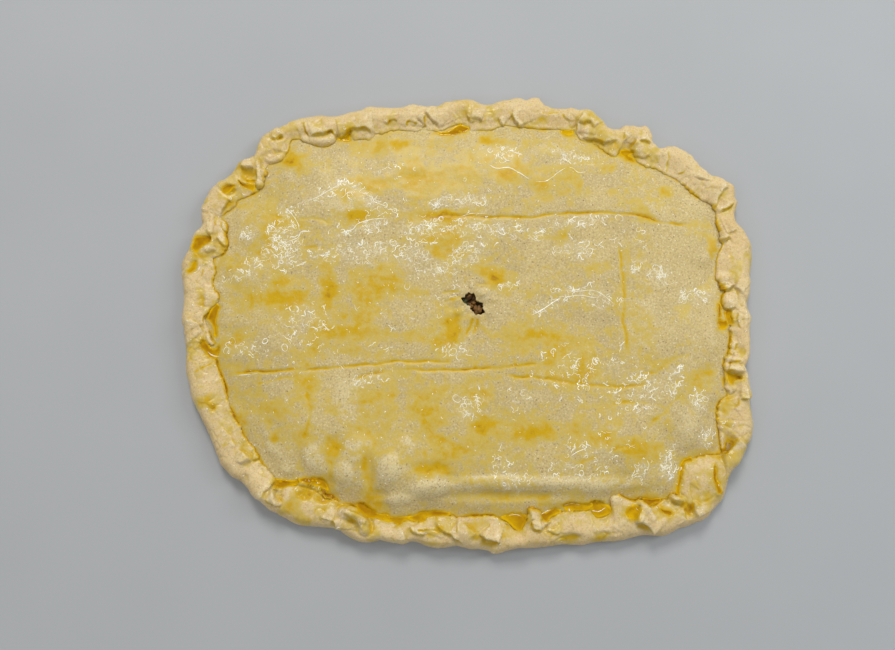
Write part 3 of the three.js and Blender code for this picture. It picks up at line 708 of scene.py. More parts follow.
# Patches where the egg on the lid is thicker or thinner: pixel, half sizes in pixels, strength
LID_PATCHES = [
    (288, 157, 5, 6, 0.85), (357, 215, 10, 9, 1.8), (328, 285, 7, 20, 1.15), (453, 328, 7, 12, 2.2),
    (495, 279, 8, 5, 0.9), (510, 172, 12, 9, 1.15), (484, 426, 9, 8, 1.0), (525, 432, 22, 9, 0.7),
    (440, 216, 18, 5, 2.0), (310, 400, 5, 22, 0.1), (300, 438, 9, 10, 0.7), (660, 360, 18, 8, 0.5),
    (270, 250, 14, 9, 0.5), (520, 340, 20, 9, 0.5), (365, 440, 12, 20, 0.5), (430, 455, 30, 12, 0.2),
    (405, 140, 9, 8, 0.3), (610, 165, 12, 8, 0.8), (560, 430, 30, 12, -0.4), (275, 430, 16, 12, 0.3),
    (640, 330, 20, 10, 0.1), (355, 350, 20, 8, 0.3), (440, 320, 9, 12, 0.3), (530, 255, 30, 8, 0.1),
    (590, 265, 24, 9, 0.3), (250, 265, 22, 9, 0.35), (485, 135, 7, 4, 1.4), (410, 165, 10, 14, 0.5),
    (470, 175, 14, 8, 0.5), (668, 188, 12, 7, 0.95), (716, 245, 5, 11, 1.4), (455, 240, 16, 12, 0.15),
    (272, 437, 6, 5, 1.05), (370, 490, 6, 12, 0.75), (330, 470, 5, 18, 0.55), (525, 290, 18, 8, 0.45),
    (460, 170, 60, 34, 0.36), (405, 432, 66, 48, 0.4), (272, 305, 48, 45, 0.4), (620, 178, 60, 28, -0.28),
    (555, 290, 56, 50, -0.24), (440, 330, 60, 36, 0.22), (600, 430, 60, 30, 0.18), (290, 420, 40, 44, 0.14),
    (690, 300, 30, 70, -0.17), (255, 350, 24, 40, -0.05),
]

# Where egg left froth, painted as glints, on the lid: pixel, half sizes in pixels, slant in degrees, how
# many strands
LID_FROTH = [
    (250, 265, 38, 8, 28, 26), (284, 246, 17, 22, 50, 52), (286, 212, 11, 5, 0, 9),
    (322, 193, 26, 5, 30, 12), (362, 194, 26, 6, -30, 16), (242, 232, 11, 6, 0, 8), (270, 229, 7, 5, 20, 5),
    (362, 226, 30, 6, 16, 18), (355, 250, 42, 10, 3, 34), (415, 255, 16, 10, 20, 16),
    (425, 229, 22, 13, 0, 30), (460, 200, 30, 7, 8, 18), (470, 225, 20, 12, 10, 18),
    (470, 251, 22, 12, 10, 18), (440, 268, 32, 6, 10, 14), (500, 230, 22, 8, 5, 16),
    (535, 233, 12, 6, 0, 8), (572, 223, 26, 5, 6, 14), (575, 248, 20, 8, 10, 12), (503, 150, 16, 9, 10, 12),
    (570, 155, 16, 8, -10, 12), (660, 275, 12, 10, 10, 12), (636, 270, 4, 6, 60, 4),
    (685, 293, 6, 7, 60, 9), (706, 292, 14, 10, 40, 9), (555, 303, 24, 5, 32, 12),
    (585, 296, 34, 9, -10, 20), (305, 318, 22, 14, 0, 20), (506, 285, 13, 3, 5, 5),
    (238, 347, 15, 8, 10, 10), (455, 350, 16, 8, 10, 10), (368, 380, 20, 5, 16, 8),
    (560, 375, 26, 24, 20, 22), (600, 368, 24, 24, 30, 20), (640, 386, 26, 24, 40, 28),
    (672, 372, 12, 5, 10, 6), (470, 405, 12, 15, 50, 12), (515, 405, 9, 15, 60, 6),
    (701, 401, 8, 9, 70, 12), (708, 438, 8, 8, 60, 9), (674, 391, 5, 6, 60, 5), (671, 468, 10, 13, 70, 26),
    (585, 460, 36, 18, 35, 24), (642, 470, 13, 9, 30, 8), (500, 466, 11, 11, 50, 8),
    (516, 485, 11, 8, 10, 8), (620, 430, 40, 18, 30, 12), (330, 330, 60, 30, 5, 10),
    (400, 180, 60, 22, 5, 10), (620, 230, 40, 20, 5, 8), (300, 350, 50, 20, 5, 8), (430, 300, 40, 22, 5, 8),
]

# Long strands of froth, painted white as glint lines on the lid and along pool edges: pixels along each,
# width in millimetres
FROTH_LINES = [
    ([(489, 163), (497, 167), (509, 166.5), (518, 171), (529, 178)], 1.1),
    ([(536, 181), (545, 181), (552, 177), (558, 172), (567, 166)], 0.55),
    ([(569, 165.5), (574, 167), (579, 171), (587, 170)], 0.7),
    ([(303, 202), (318, 196), (328, 190), (338, 184)], 0.6),
    ([(340, 232), (352, 229), (358, 223), (371, 219), (386, 218)], 0.8),
    ([(371, 193), (374, 201), (381, 204), (388, 207)], 0.5),
    ([(283, 205), (291, 213), (297, 222), (299, 230)], 0.7),
    ([(286, 241), (297, 237), (301, 231), (310, 231)], 0.8),
    ([(534, 314), (543, 309), (552, 303), (561, 297)], 0.9),
    ([(561, 290), (578, 291), (592, 290), (602, 294), (616, 305)], 0.6),
    ([(565, 297), (580, 295), (596, 298)], 0.5), ([(571, 456), (577, 452), (584, 449)], 0.6),
    ([(234, 374.5), (244, 374), (256, 373)], 0.5), ([(420, 223), (431, 226), (437, 225)], 0.8),
    ([(460, 216), (472, 213), (487, 213)], 0.5), ([(193, 250), (198, 250.5), (204, 247), (211, 242)], 0.7),
    ([(240, 185), (246, 188), (253, 189)], 0.6),
    ([(440, 131), (447, 130.5), (453, 128), (459, 125.5), (464, 125.5)], 0.35),
    ([(339, 137), (345, 135), (350, 131)], 0.5), ([(203, 350), (208, 354), (215, 355)], 0.6),
    ([(189, 271), (194, 268), (196, 263)], 0.5), ([(543, 516), (548, 513), (556, 510)], 0.45),
    ([(566, 507), (574, 505), (583, 506)], 0.35), ([(510, 517), (517, 516), (523, 518)], 0.4),
    ([(595, 512), (602, 513), (609, 509)], 0.5),
]

# Swells, hollows and the turned back flap of the lid: pixel, half sizes in pixels, height
LID_DENTS = [
    (484.5, 293.5, 5.5, 6, 1.9), (480, 284.5, 7, 3, -0.9), (472, 285, 3, 3, 0.9), (469, 306, 3.5, 5, 1.0),
    (368, 471, 6, 16, -1.8), (334, 445, 8, 9, -1.2), (430, 468, 20, 6, -1.2), (341, 475, 10, 11, 2.2),
    (390, 468, 10, 13, 1.9), (430, 490, 15, 8, 2.2), (505, 483, 64, 6.5, 2.1), (500, 497, 60, 4.5, -1.3),
    (600, 485, 40, 7, 1.4), (358, 448, 14, 12, 1.5), (452, 478, 8, 5, -0.9), (312, 456, 9, 12, 1.5),
    (298, 462, 5, 9, -0.9), (285, 470, 7, 6, 1.0), (345, 400, 16, 26, 0.7), (560, 330, 40, 24, -0.6),
    (640, 300, 26, 40, 0.6), (350, 205, 30, 12, 0.7), (420, 180, 34, 14, -0.6), (400, 500, 14, 5, 1.3),
    (408, 445, 8, 8, 0.9), (470, 497, 12, 6, 0.8), (330, 490, 8, 5, 0.7), (380, 495, 8, 5, -0.8),
    (300, 160, 20, 8, 0.6), (560, 145, 26, 8, 0.5), (660, 205, 20, 10, 0.5), (690, 430, 12, 22, 0.6),
]

# Bits of filling that show in the vent: pixel, size in millimetres, greenness
VENT_BITS = [
    (468.5, 294.5, 5.0, 0.0), (464.5, 299, 3.4, 1.0), (479, 308, 5.6, 0.0), (474, 301, 2.4, 0.0),
    (482.5, 303, 2.6, 0.0), (471.5, 304.5, 2.6, 0.0), (476, 313.5, 3.2, 0.0), (466, 303, 2.2, 1.0),
]


def smooth(share):
    """Eases a share from 0 to 1."""
    held = np.clip(share, 0.0, 1.0)
    return held * held * (3.0 - 2.0 * held)


def ease(share):
    """Eases a share from 0 to 1 more softly."""
    return share ** 3 * (share * (share * 6 - 15) + 10)


def scattered(number):
    """A repeatable number from 0 to 1 for any number."""
    wave = np.sin(number) * SCATTER
    return wave - np.floor(wave)


def chance(index, channel):
    """A repeatable number from 0 to 1 for one swell, fold or bit."""
    return scattered(index * SCATTER_X + channel * SCATTER_Y)


def drawn(index, channel, low, spread, power=1):
    """A size drawn by chance, from the low one up; a higher power makes large ones rarer."""
    return low + spread * chance(index, channel) ** power


def grain(x, y, cell, seed):
    """Smooth noise from about -1 to 1 with lumps of one cell."""
    gx, gy = x / cell, y / cell
    ix, iy = np.floor(gx), np.floor(gy)
    fx, fy = gx - ix, gy - iy

    def corner(dx, dy):
        place = (ix + dx) * SCATTER_X + (iy + dy) * SCATTER_Y + seed * SCATTER_SEED
        angle = 2 * np.pi * scattered(place)
        return np.cos(angle) * (fx - dx) + np.sin(angle) * (fy - dy)

    low = corner(0, 0) + ease(fx) * (corner(1, 0) - corner(0, 0))
    high = corner(0, 1) + ease(fx) * (corner(1, 1) - corner(0, 1))
    return GRAIN_STRENGTH * (low + ease(fy) * (high - low))


def layered(x, y, cell, seed, layers):
    """Noise in layers, each half as large and half as strong as the last."""
    return sum(grain(x, y, cell / 2 ** k, seed + k) / 2 ** k for k in range(layers))


def lumpy(x, y, *noises):
    """Sum of noises, each given as height, size, seed and layers."""
    return sum(height * layered(x, y, size, seed, layers) for height, size, seed, layers in noises)


def spotted(x, y, share, size, seed, contrast):
    """Where something shows, from 0 to 1, in spots that cover about a share of the dough."""
    return smooth(share + contrast * grain(x, y, size, seed))


def hump(value, width, place=0.0):
    """A rounded hump: 1 at its place, and less on either side."""
    return np.exp(-((value - place) / width) ** 2)


def leftward(forward):
    """Unit vectors to the left of the given directions in the plan."""
    unit = forward / np.maximum(np.linalg.norm(forward, axis=1), TINY)[:, None]
    return np.column_stack([-unit[:, 1], unit[:, 0]])


def outline_radius(angle):
    """Distance from the middle to the smooth outline in each direction."""
    across = np.abs(np.cos(angle)) / (LENGTH / 2)
    along = np.abs(np.sin(angle)) / (WIDTH / 2)
    back, right = np.sin(angle) >= 0, np.cos(angle) >= 0
    quarter = np.where(back, np.where(right, 0, 1), np.where(right, 3, 2))
    power = np.array(CORNERS)[quarter]
    return (across ** power + along ** power) ** (-1 / power)


# Fine walk round the smooth outline, from which all even steps are taken
walk_angle = np.arange(WALK + 1) * 2 * np.pi / WALK
walk_point = np.stack([np.cos(walk_angle), np.sin(walk_angle)], 1) * outline_radius(walk_angle)[:, None]
walk_along = np.r_[0, np.cumsum(np.linalg.norm(np.diff(walk_point, axis=0), axis=1))]
PERIMETER = walk_along[-1]
walk_inward = leftward(np.roll(walk_point[:-1], -1, 0) - np.roll(walk_point[:-1], 1, 0))
walk_inward = np.vstack([walk_inward, walk_inward[:1]])


class Outline:
    """Even steps round the smooth outline, and how far inside it the rim's edge, lip and groove lie."""

    def __init__(self, count):
        self.count = count
        self.along = np.arange(count) * PERIMETER / count
        self.point = np.stack([np.interp(self.along, walk_along, walk_point[:, k]) for k in (0, 1)], 1)
        self.inward = np.stack([np.interp(self.along, walk_along, walk_inward[:, k]) for k in (0, 1)], 1)
        self.angle = np.unwrap(np.arctan2(self.point[:, 1], self.point[:, 0]))
        self.edge = self.softened(line_depth(RIM_OUTLINE, FOOT_READING, self.along), EDGE_SOFTENED)
        self.lip = self.softened(line_depth(RIM_LIP, LIP_READING, self.along), LIP_SOFTENED)
        self.groove = self.softened(self.lip, GROOVE_SOFTENED)

    def softened(self, sizes, spread):
        """Sizes round the outline, averaged over a spread along it."""
        reach = int(math.ceil(3 * spread * self.count / PERIMETER))
        offsets = np.arange(-reach, reach + 1)
        weights = np.exp(-0.5 * (offsets * PERIMETER / self.count / spread) ** 2)
        return sum(w * np.roll(sizes, k) for w, k in zip(weights / weights.sum(), offsets))

    def ring(self, inward, height):
        """Points of one ring: the outline's steps moved inward and lifted."""
        plan = self.point + self.inward * np.broadcast_to(inward, self.count)[:, None]
        return np.column_stack([plan, np.broadcast_to(height, self.count)])


def from_photo(pixels, height):
    """Points of the plan, at a height, under pixels of the photograph."""
    pixels = np.atleast_2d(np.asarray(pixels, float))
    right = (pixels[:, 0] - PHOTO_WIDTH / 2) / FOCAL_PX
    up = (PHOTO_HEIGHT / 2 - pixels[:, 1]) / FOCAL_PX
    sine, cosine = math.sin(CAMERA_TILT), math.cos(CAMERA_TILT)
    reach = (CAMERA_HEIGHT - height) / (cosine - up * sine)
    return np.stack([CAMERA_X + right * reach, CAMERA_Y + (up * cosine + sine) * reach], 1)


def rounded(p0, p1, p2, p3, t):
    """A point between the second and the third of four points, on a curve through all."""
    return 0.5 * (2 * p1 + (p2 - p0) * t + (2 * p0 - 5 * p1 + 4 * p2 - p3) * t ** 2
                  + (3 * p1 - p0 - 3 * p2 + p3) * t ** 3)


def bent(line, steps=CURVE, closed=False):
    """A line through the given points, rounded at each of them."""
    line = np.asarray(line, float)
    if closed:
        padded = np.vstack([line[-1:], line, line[:2]])
    else:
        padded = np.vstack([2 * line[0] - line[1], line, 2 * line[-1] - line[-2]])
    t = np.linspace(0, 1, steps, endpoint=False)[:, None]
    out = [rounded(*padded[k - 1:k + 3], t) for k in range(1, len(padded) - 2)]
    return np.vstack(out if closed else out + [line[-1:]])


def wandering(line, amount, cell, seed):
    """A line of the plan that strays a little to either side."""
    stray = [layered(*line.T, cell, seed + 4 * k, 2) for k in (0, 1)]
    return line + amount * np.column_stack(stray)


def line_depth(pixels, height, along):
    """How far inside the smooth outline a clockwise line of pixels lies."""
    line = bent(from_photo(pixels[::-1], height), FINE_CURVE, closed=True)
    ring, inward, place = walk_point[::WALK_EVERY], walk_inward[::WALK_EVERY], walk_along[::WALK_EVERY]
    nearest = np.array([np.argmin(((ring - point) ** 2).sum(1)) for point in line])
    depth = ((line - ring[nearest]) * inward[nearest]).sum(1)
    walked = np.maximum.accumulate(np.unwrap(place[nearest], period=PERIMETER))
    laps = [walked + lap * PERIMETER for lap in LAPS]
    return np.interp(along, np.concatenate(laps), np.tile(depth, len(LAPS)))


def line_field(points, line, margin):
    """Signed distance to a bent line, left positive, share along it, and which points lie near it."""
    low, high = line.min(0) - margin, line.max(0) + margin
    near = np.flatnonzero(np.all((points > low) & (points < high), axis=1))
    place = points[near]
    steps = np.diff(line, axis=0)
    lengths = np.linalg.norm(steps, axis=1)
    starts = np.r_[0, np.cumsum(lengths)]
    best = np.full(len(place), np.inf)
    side = np.ones(len(place))
    along = np.zeros(len(place))
    for k, step in enumerate(steps):
        offset = place - line[k]
        share = np.clip(offset @ step / lengths[k] ** 2, 0, 1)
        far = np.linalg.norm(offset - share[:, None] * step, axis=1)
        closer = far < best
        turned = np.sign(step[0] * offset[:, 1] - step[1] * offset[:, 0])
        best = np.where(closer, far, best)
        side = np.where(closer, turned, side)
        along = np.where(closer, (starts[k] + share * lengths[k]) / starts[-1], along)
    return best * side, along, near


def both_ends(along, steepness):
    """Fades a line's share along it towards both ends."""
    return smooth(along * steepness) * smooth((1 - along) * steepness)


def spot_field(points, spots, height, sharpness=1.5):
    """Sum of rounded spots, given as pixel, half sizes and amount, at plan points."""
    field = np.zeros(len(points))
    for px, py, half_x, half_y, amount in spots:
        out = (points - from_photo((px, py), height)[0]) / (np.array([half_x, half_y]) * PX)
        field += amount * np.exp(-(out ** 2).sum(1) ** sharpness)
    return field


def fold_field(points):
    """Height that the folds and rolls add to the rim at plan points, and the egg in their creases."""
    field, egg = np.zeros((2, len(points)))
    for k, (pixels, lift, depth) in enumerate(RIM_FOLDS):
        line = wandering(bent(from_photo(pixels, RIM_READING)), *FOLD_WANDER)
        signed, along, near = line_field(points, line, 3 * FOLD_REACH)
        far = np.abs(signed)
        ends = both_ends(along, FOLD_ENDS)
        past_end = np.where((along <= 0) | (along >= 1), np.exp(-far / FOLD_PAST_END), 1.0)
        uneven = FOLD_EVEN + lumpy(*points[near].T, FOLD_UNEVEN)
        crease = -FOLD_CUT * depth * uneven * np.exp(-(far / FOLD_CREASE) ** FOLD_CREASE_EDGE)
        raised = np.sign(lift) * signed
        upper = np.exp(-np.maximum(raised, 0) / FOLD_REACH)
        upper *= smooth(raised / FOLD_EDGE + FOLD_EDGE_START)
        lower = np.exp(-np.maximum(-raised, 0) / FOLD_SINK_REACH)
        lower *= smooth(-raised / FOLD_EDGE + FOLD_EDGE_START)
        step = abs(lift) * (FOLD_LIFT * upper - FOLD_SINK * lower)
        field[near] += (crease + step) * ends * past_end
        wet = CREASE_EGG * smooth(FOLD_EGG * chance(k, Draw.FOLD_EGG) - FOLD_EGG_DRY) * uneven
        egg[near] = np.maximum(egg[near], wet * ends * hump(far, FOLD_EGG_WIDTH))
    for pixels, half, height in RIM_ROLLS:
        signed, _, near = line_field(points, bent(from_photo(pixels, RIM_READING)), 3 * half * PX)
        far = np.abs(signed) / (half * PX)
        ditch = ROLL_DITCH * hump(far, ROLL_DITCH_WIDTH, ROLL_DITCH_PLACE)
        field[near] += ROLL_GAIN * height * (np.exp(-far ** ROLL_EDGE) - ditch)
    return field, egg


def froth_field(points):
    """How thickly the egg foam, with its painted sheen and glints, lies on the lid at plan points."""
    field = np.zeros(len(points))
    for px, py, half_x, half_y, slant, count in LID_FROTH:
        lean = math.radians(slant) if half_x > half_y else 0.0
        out = points - from_photo((px, py), LID_READING)[0]
        along = out[:, 0] * math.cos(lean) + out[:, 1] * math.sin(lean)
        across = out[:, 1] * math.cos(lean) - out[:, 0] * math.sin(lean)
        far = (along / (half_x * PX)) ** 2 + (across / (half_y * PX)) ** 2
        dense = min(1.0, FROTH_DENSE * count / (half_x * half_y))
        field = np.maximum(field, dense * np.exp(-FROTH_FADE * far))
    return field


def crease_field(points):
    """Depth of the lid's creases at plan points, and the egg in them."""
    depth, egg = np.zeros((2, len(points)))
    for pixels, deep in LID_CREASES:
        line = wandering(bent(from_photo(pixels, LID_READING)), *LID_CREASE_WANDER)
        signed, along, near = line_field(points, line, LID_CREASE_MARGIN)
        shown = both_ends(along, LID_CREASE_ENDS) * spotted(*points[near].T, *LID_CREASE_SPOTS)
        shown *= hump(signed, LID_CREASE_WIDTH)
        depth[near] += deep * shown
        egg[near] = np.maximum(egg[near], shown * min(1.0, LID_CREASE_EGG + deep))
    return depth, egg


def far_side(y):
    """How far a place lies on the side away from the viewer, from 0 to 1."""
    return smooth((y - FAR_SIDE[0]) / (FAR_SIDE[1] - FAR_SIDE[0]))


def seam_egg(x, y, away, width, spots):
    """Egg in the seam between lip and lid, with less of it on the far side."""
    return SEAM_EGG * hump(away, width) * spotted(x, y, *spots) * (1 - FAR_DRIER * far_side(y))


def between(rings, counts):
    """Rings along a rounded path through key rings, with the given steps in each gap."""
    filled = []
    for k, steps in enumerate(counts):
        before, after = rings[max(k - 1, 0)], rings[min(k + 2, len(rings) - 1)]
        filled += [rounded(before, rings[k], rings[k + 1], after, t) for t in np.arange(steps) / steps]
    return filled + [rings[-1]]


def stitched(fine, coarse, fine_start, coarse_start):
    """Triangles between a ring and one with fewer points, or a pole."""
    ratio = fine // coarse
    half = ratio // 2
    i = np.arange(coarse)
    c0, c1 = coarse_start + i, coarse_start + (i + 1) % coarse
    parts = []
    for j in range(ratio):
        f0 = fine_start + (i * ratio + j) % fine
        f1 = fine_start + (i * ratio + j + 1) % fine
        parts.append(np.stack([f0, f1, c0 if j < half else c1], 1))
    if coarse > 1:
        parts.append(np.stack([fine_start + (i * ratio + half) % fine, c1, c0], 1))
    return np.vstack(parts)


def join_rings(sizes, closed=False):
    """Faces between rings that follow each other; a ring of one point is a pole."""
    rings = list(zip(sizes, np.cumsum([0] + sizes)))
    following = rings[1:] + (rings[:1] if closed else [])
    quads, triangles = [], []
    for (na, a), (nb, b) in zip(rings, following):
        if na == nb:
            i = np.arange(na)
            j = (i + 1) % na
            quads.append(np.stack([a + i, a + j, b + j, b + i], 1))
        elif na > nb:
            triangles.append(stitched(na, nb, a, b))
        else:
            triangles.append(stitched(nb, na, b, a)[:, ::-1])
    return [face for group in quads + triangles for face in group.tolist()]


def put(name, data):
    """Puts a mesh, a lamp or a camera into the scene."""
    made = bpy.data.objects.new(name, data)
    bpy.context.scene.collection.objects.link(made)
    return made


def add_piece(name, points, faces, material, fields=None):
    """A smooth piece from points in millimetres, with named values on its points."""
    mesh = bpy.data.meshes.new(name)
    mesh.from_pydata((np.asarray(points) * MM).tolist(), [], faces)
    mesh.shade_smooth()
    for field, values in (fields or {}).items():
        stored = mesh.attributes.new(field, "FLOAT", "POINT")
        stored.data.foreach_set("value", np.asarray(values, np.float32))
    mesh.materials.append(material)
    return put(name, mesh)


class Heap:
    """Many small bodies that make one piece: their points, faces and stored tints."""

    def __init__(self):
        self.points, self.faces, self.tints = [], [], []

    def add(self, points, faces, tint):
        """Adds one body, whose faces count from its own first point."""
        start = len(self.points)
        self.points += np.asarray(points).tolist()
        self.faces += [[start + i for i in face] for face in faces]
        self.tints += np.broadcast_to(tint, len(points)).tolist()

    def add_rings(self, rings, tint):
        """Adds one body made of rings between two poles."""
        self.add(np.vstack(rings), join_rings([len(ring) for ring in rings]), tint)

    def piece(self, name, material):
        return add_piece(name, self.points, self.faces, material, {"tint": self.tints})


class DoughSheet:
    """One sheet of dough: points ring by ring, which are seen, and the values stored on them."""

    def __init__(self, points, sizes, seen, **stored):
        self.points, self.sizes, self.seen, self.stored = points, sizes, seen, stored

    def fields(self, before, after):
        """The stored values, with bare points before and after."""
        return {name: np.pad(values, (before, after)) for name, values in self.stored.items()}


def grid_normals(grid):
    """Normals of a grid of points whose second axis closes on itself."""
    across = np.gradient(grid, axis=0)
    round_rim = np.roll(grid, -1, 1) - np.roll(grid, 1, 1)
    normal = np.cross(round_rim, across)
    return normal / np.maximum(np.linalg.norm(normal, axis=2), TINY)[..., None]


def standing_out(heights):
    """How far each height of a grid stands above the mean of those round it."""
    round_rim = sum(np.roll(heights, k, 1) for k in RIDGE_ALONG) / len(RIDGE_ALONG)
    rows = np.arange(len(heights))
    near = [np.clip(rows + k, 0, len(heights) - 1) for k in RIDGE_ACROSS]
    return heights - sum(round_rim[row] for row in near) / len(RIDGE_ACROSS)


class Pool:
    """One pool of egg: its outline in the plan and its level."""

    def __init__(self, pixels, index):
        line = bent(from_photo(pixels, POOL_READING), POOL_CURVE, closed=True)
        line = wandering(line, *POOL_WANDER)
        forward = np.roll(line, -1, 0) - line
        area = 0.5 * np.sum(line[:, 0] * forward[:, 1] - line[:, 1] * forward[:, 0])
        self.line = line if area > 0 else line[::-1]
        self.half_width = abs(area) / np.linalg.norm(forward, axis=1).sum()
        self.tone = chance(index, Draw.POOL_TONE)
        self.level = 0.0

    def inside(self, points, margin):
        """Distance inside the pool's outline, negative outside, and which points lie near it."""
        loop = np.vstack([self.line, self.line[:1]])
        signed, _, near = line_field(points, loop, margin)
        x, y = points[near, 0], points[near, 1]
        crossed = np.zeros(len(near), bool)
        for (ax, ay), (bx, by) in zip(loop[:-1], loop[1:]):
            spans = (ay > y) != (by > y)
            rise = by - ay if by != ay else 1.0
            crossed ^= spans & (x < ax + (bx - ax) * (y - ay) / rise)
        return np.where(crossed, 1.0, -1.0) * np.abs(signed), near

    def inset(self, distance):
        """The outline drawn in by a distance."""
        return self.line + distance * leftward(np.roll(self.line, -1, 0) - np.roll(self.line, 1, 0))

    def tones(self):
        """How dark the egg is along the outline: a random tone plus painted shade, darker towards the back.
        """
        y = self.line[:, 1]
        back = (y - y.min()) / np.ptp(y)
        return POOL_TONE + POOL_TONE_SPREAD * self.tone + POOL_TONE_BACK * back


def settle_pools(pools, sheets):
    """Sets each pool's level by the dough round it, then shapes and wets the dough to hold it."""
    for pool in pools:
        found = []
        for sheet in sheets:
            signed, near = pool.inside(sheet.points[:, :2], POOL_BANK)
            close = near[(np.abs(signed) < POOL_SHORE) & sheet.seen[near]]
            found.append(sheet.points[close, 2])
        pool.level = np.percentile(np.concatenate(found), POOL_LEVEL_PERCENT)
    for pool in pools:
        for sheet in sheets:
            bank_pool(pool, sheet)
            wet_round_pool(pool, sheet)
    for pool in pools:
        for sheet in sheets:
            hollow_pool(pool, sheet)


def bank_pool(pool, sheet):
    """Lifts the dough round a pool to hold it."""
    signed, near = pool.inside(sheet.points[:, :2], POOL_BANK)
    bank = (signed < 0) & (signed > -POOL_BANK) & sheet.seen[near]
    wanted = pool.level + BANK_STAND + BANK_SLOPE * signed[bank]
    lift = np.clip(wanted - sheet.points[near[bank], 2], 0, BANK_MOST)
    sheet.points[near[bank], 2] += lift * smooth(2 + 2 * signed[bank] / POOL_BANK)


def wet_round_pool(pool, sheet):
    """Spreads a film of egg over the dough round a pool."""
    signed, near = pool.inside(sheet.points[:, :2], POOL_FILM)
    fade = FILM_FADE + lumpy(*sheet.points[near, :2].T, FILM_WAVES)
    film = np.where(signed > 0, 1.0, FILM_EDGE * np.exp(np.minimum(signed, 0) / fade))
    egg = sheet.stored["egg"]
    egg[near] = np.maximum(egg[near], film * sheet.seen[near])


def hollow_pool(pool, sheet):
    """Sinks the dough under a pool below its level."""
    signed, near = pool.inside(sheet.points[:, :2], BED_MARGIN)
    wet = (signed > 0) & sheet.seen[near]
    bed = pool.level - BED_DROP - BED_SLOPE * np.minimum(signed[wet], BED_REACH)
    sheet.points[near[wet], 2] = np.minimum(sheet.points[near[wet], 2], bed)


def upright(ring, face, start, up):
    """One triangle of a cap, turned to face up or down."""
    a, b, c = (ring[i] for i in face)
    left = (b[0] - a[0]) * (c[1] - a[1]) - (b[1] - a[1]) * (c[0] - a[0]) > 0
    return [start + i for i in (face if left == up else face[::-1])]


def build_pools(pools, material):
    """The pools of egg as closed bodies with rounded edges, and the bubbles on them."""
    heap = Heap()
    for pool in pools:
        count = len(pool.line)
        rings, tones = [], []
        for inward, share, height, tone in POOL_SECTION:
            plan = pool.inset(inward + share * pool.half_width)
            rings.append(np.column_stack([plan, np.full(count, pool.level + height)]))
            tones.append(tone * pool.tones())
        top = tessellate_polygon([[Vector(point) for point in rings[-1]]])
        bottom = tessellate_polygon([[Vector(point) for point in rings[0]]])
        faces = join_rings([count] * len(rings))
        faces += [upright(rings[-1], face, count * (len(rings) - 1), True) for face in top]
        faces += [upright(rings[0], face, 0, False) for face in bottom]
        heap.add(np.vstack(rings), faces, np.concatenate(tones))
    for k, (px, py, radius) in enumerate(EGG_BUBBLES):
        middle = from_photo((px, py), POOL_READING)[0]
        nearest = min(pools, key=lambda pool: np.min(np.linalg.norm(pool.line - middle, axis=1)))
        centre = np.array([[*middle, nearest.level - BUBBLE_SINK * radius * PX]])
        bubble = chunk(centre, 2 * radius * PX, BUBBLE_SEED + k, BUBBLE_UNEVEN, BUBBLE_STEPS)
        heap.add_rings(bubble, BUBBLE_TONE)
    return heap.piece("egg_pools", material)


def rim_keys(outline):
    """Key rings of the rim: up the side, over to the lip, and back under it to the floor."""
    along, edge, lip, groove = outline.along, outline.edge, outline.lip, outline.groove
    height = RIM_HEIGHT + lumpy(along, 0.0, RIM_HEIGHT_WAVES)
    gathers = np.abs(lumpy(along, 0.0, GATHERS)) - GATHER_MEAN
    ragged = lip + LIP_RAGGED * gathers + lumpy(along, 0.0, LIP_FRAY)
    lip_plan = outline.ring(lip, 0.0)
    lid_there = lid_level(*lip_plan[:, :2].T, lip - groove)
    thick = LIP_THICK + lumpy(along, 0.0, LIP_WAVES)
    thick *= 1 - FAR_FLATTER * far_side(lip_plan[:, 1])
    keys = [outline.ring(edge + inset, z) for inset, z in RIM_SIDE]
    for across, share in RIM_TOP:
        down = smooth(2 * across - 1)
        level = height * share * (1 - down) + (lid_there + thick) * down
        keys.append(outline.ring(edge + (ragged - edge) * across, level))
    tucked = groove - TUCK - GAP
    under_lid = TROUGH_HEIGHT - SHEET - GAP
    return keys + [
        outline.ring(ragged, lid_there + LIP_NOSE_HEIGHT * thick),
        outline.ring(ragged - LIP_NOSE, lid_there - LIP_SINK),
        outline.ring(tucked, LIP_UNDER - TUCK_DROP),
        outline.ring(tucked, under_lid - TUCK_DROP),
        outline.ring(groove + FLOOR_TURN, under_lid),
        outline.ring(groove + FLOOR_RAMP, FLOOR_TOP),
    ]


def rim_wrinkles(x, y, along, to_lip):
    """Fine wrinkles and grain of the rim's skin, and the gathers at its lip."""
    field = np.zeros_like(x)
    for depth, size, width, seed, share, spot in RIM_WRINKLES:
        wrinkle = depth * hump(grain(x, y, size, seed), width)
        field -= wrinkle * spotted(x, y, share, spot, seed + 1, WRINKLE_CONTRAST)
    field += lumpy(x, y, SKIN_GRAIN)
    beside = along + lumpy(x, y, GATHER_STRAY)
    gathers = GATHER_HEIGHT * (np.abs(lumpy(beside, GATHER_SLOW * to_lip, GATHERS)) - GATHER_MEAN)
    return field + gathers * np.exp(-to_lip / GATHER_REACH) * spotted(x, y, *GATHER_SPOTS)


def rim_egg(plan, sunk, ridge, to_lip, crease_egg):
    """How thick the egg lies on the rim."""
    x, y = plan.T
    patches = spot_field(plan, RIM_PATCHES, RIM_READING, RIM_PATCH_EDGE)
    brushed = RIM_BRUSHED * smooth((lumpy(x, y, RIM_STREAKS) - RIM_BRUSHED_FROM) / RIM_BRUSHED_RANGE)
    hollow = HOLLOW_EGG * smooth(-sunk / HOLLOW_DEPTH)
    wet = np.clip(patches + brushed + hollow + LOW_EGG * smooth(-ridge), 0, 1)
    return np.maximum(np.maximum(wet, seam_egg(x, y, to_lip, RIM_SEAM, RIM_SEAM_SPOTS)), crease_egg)


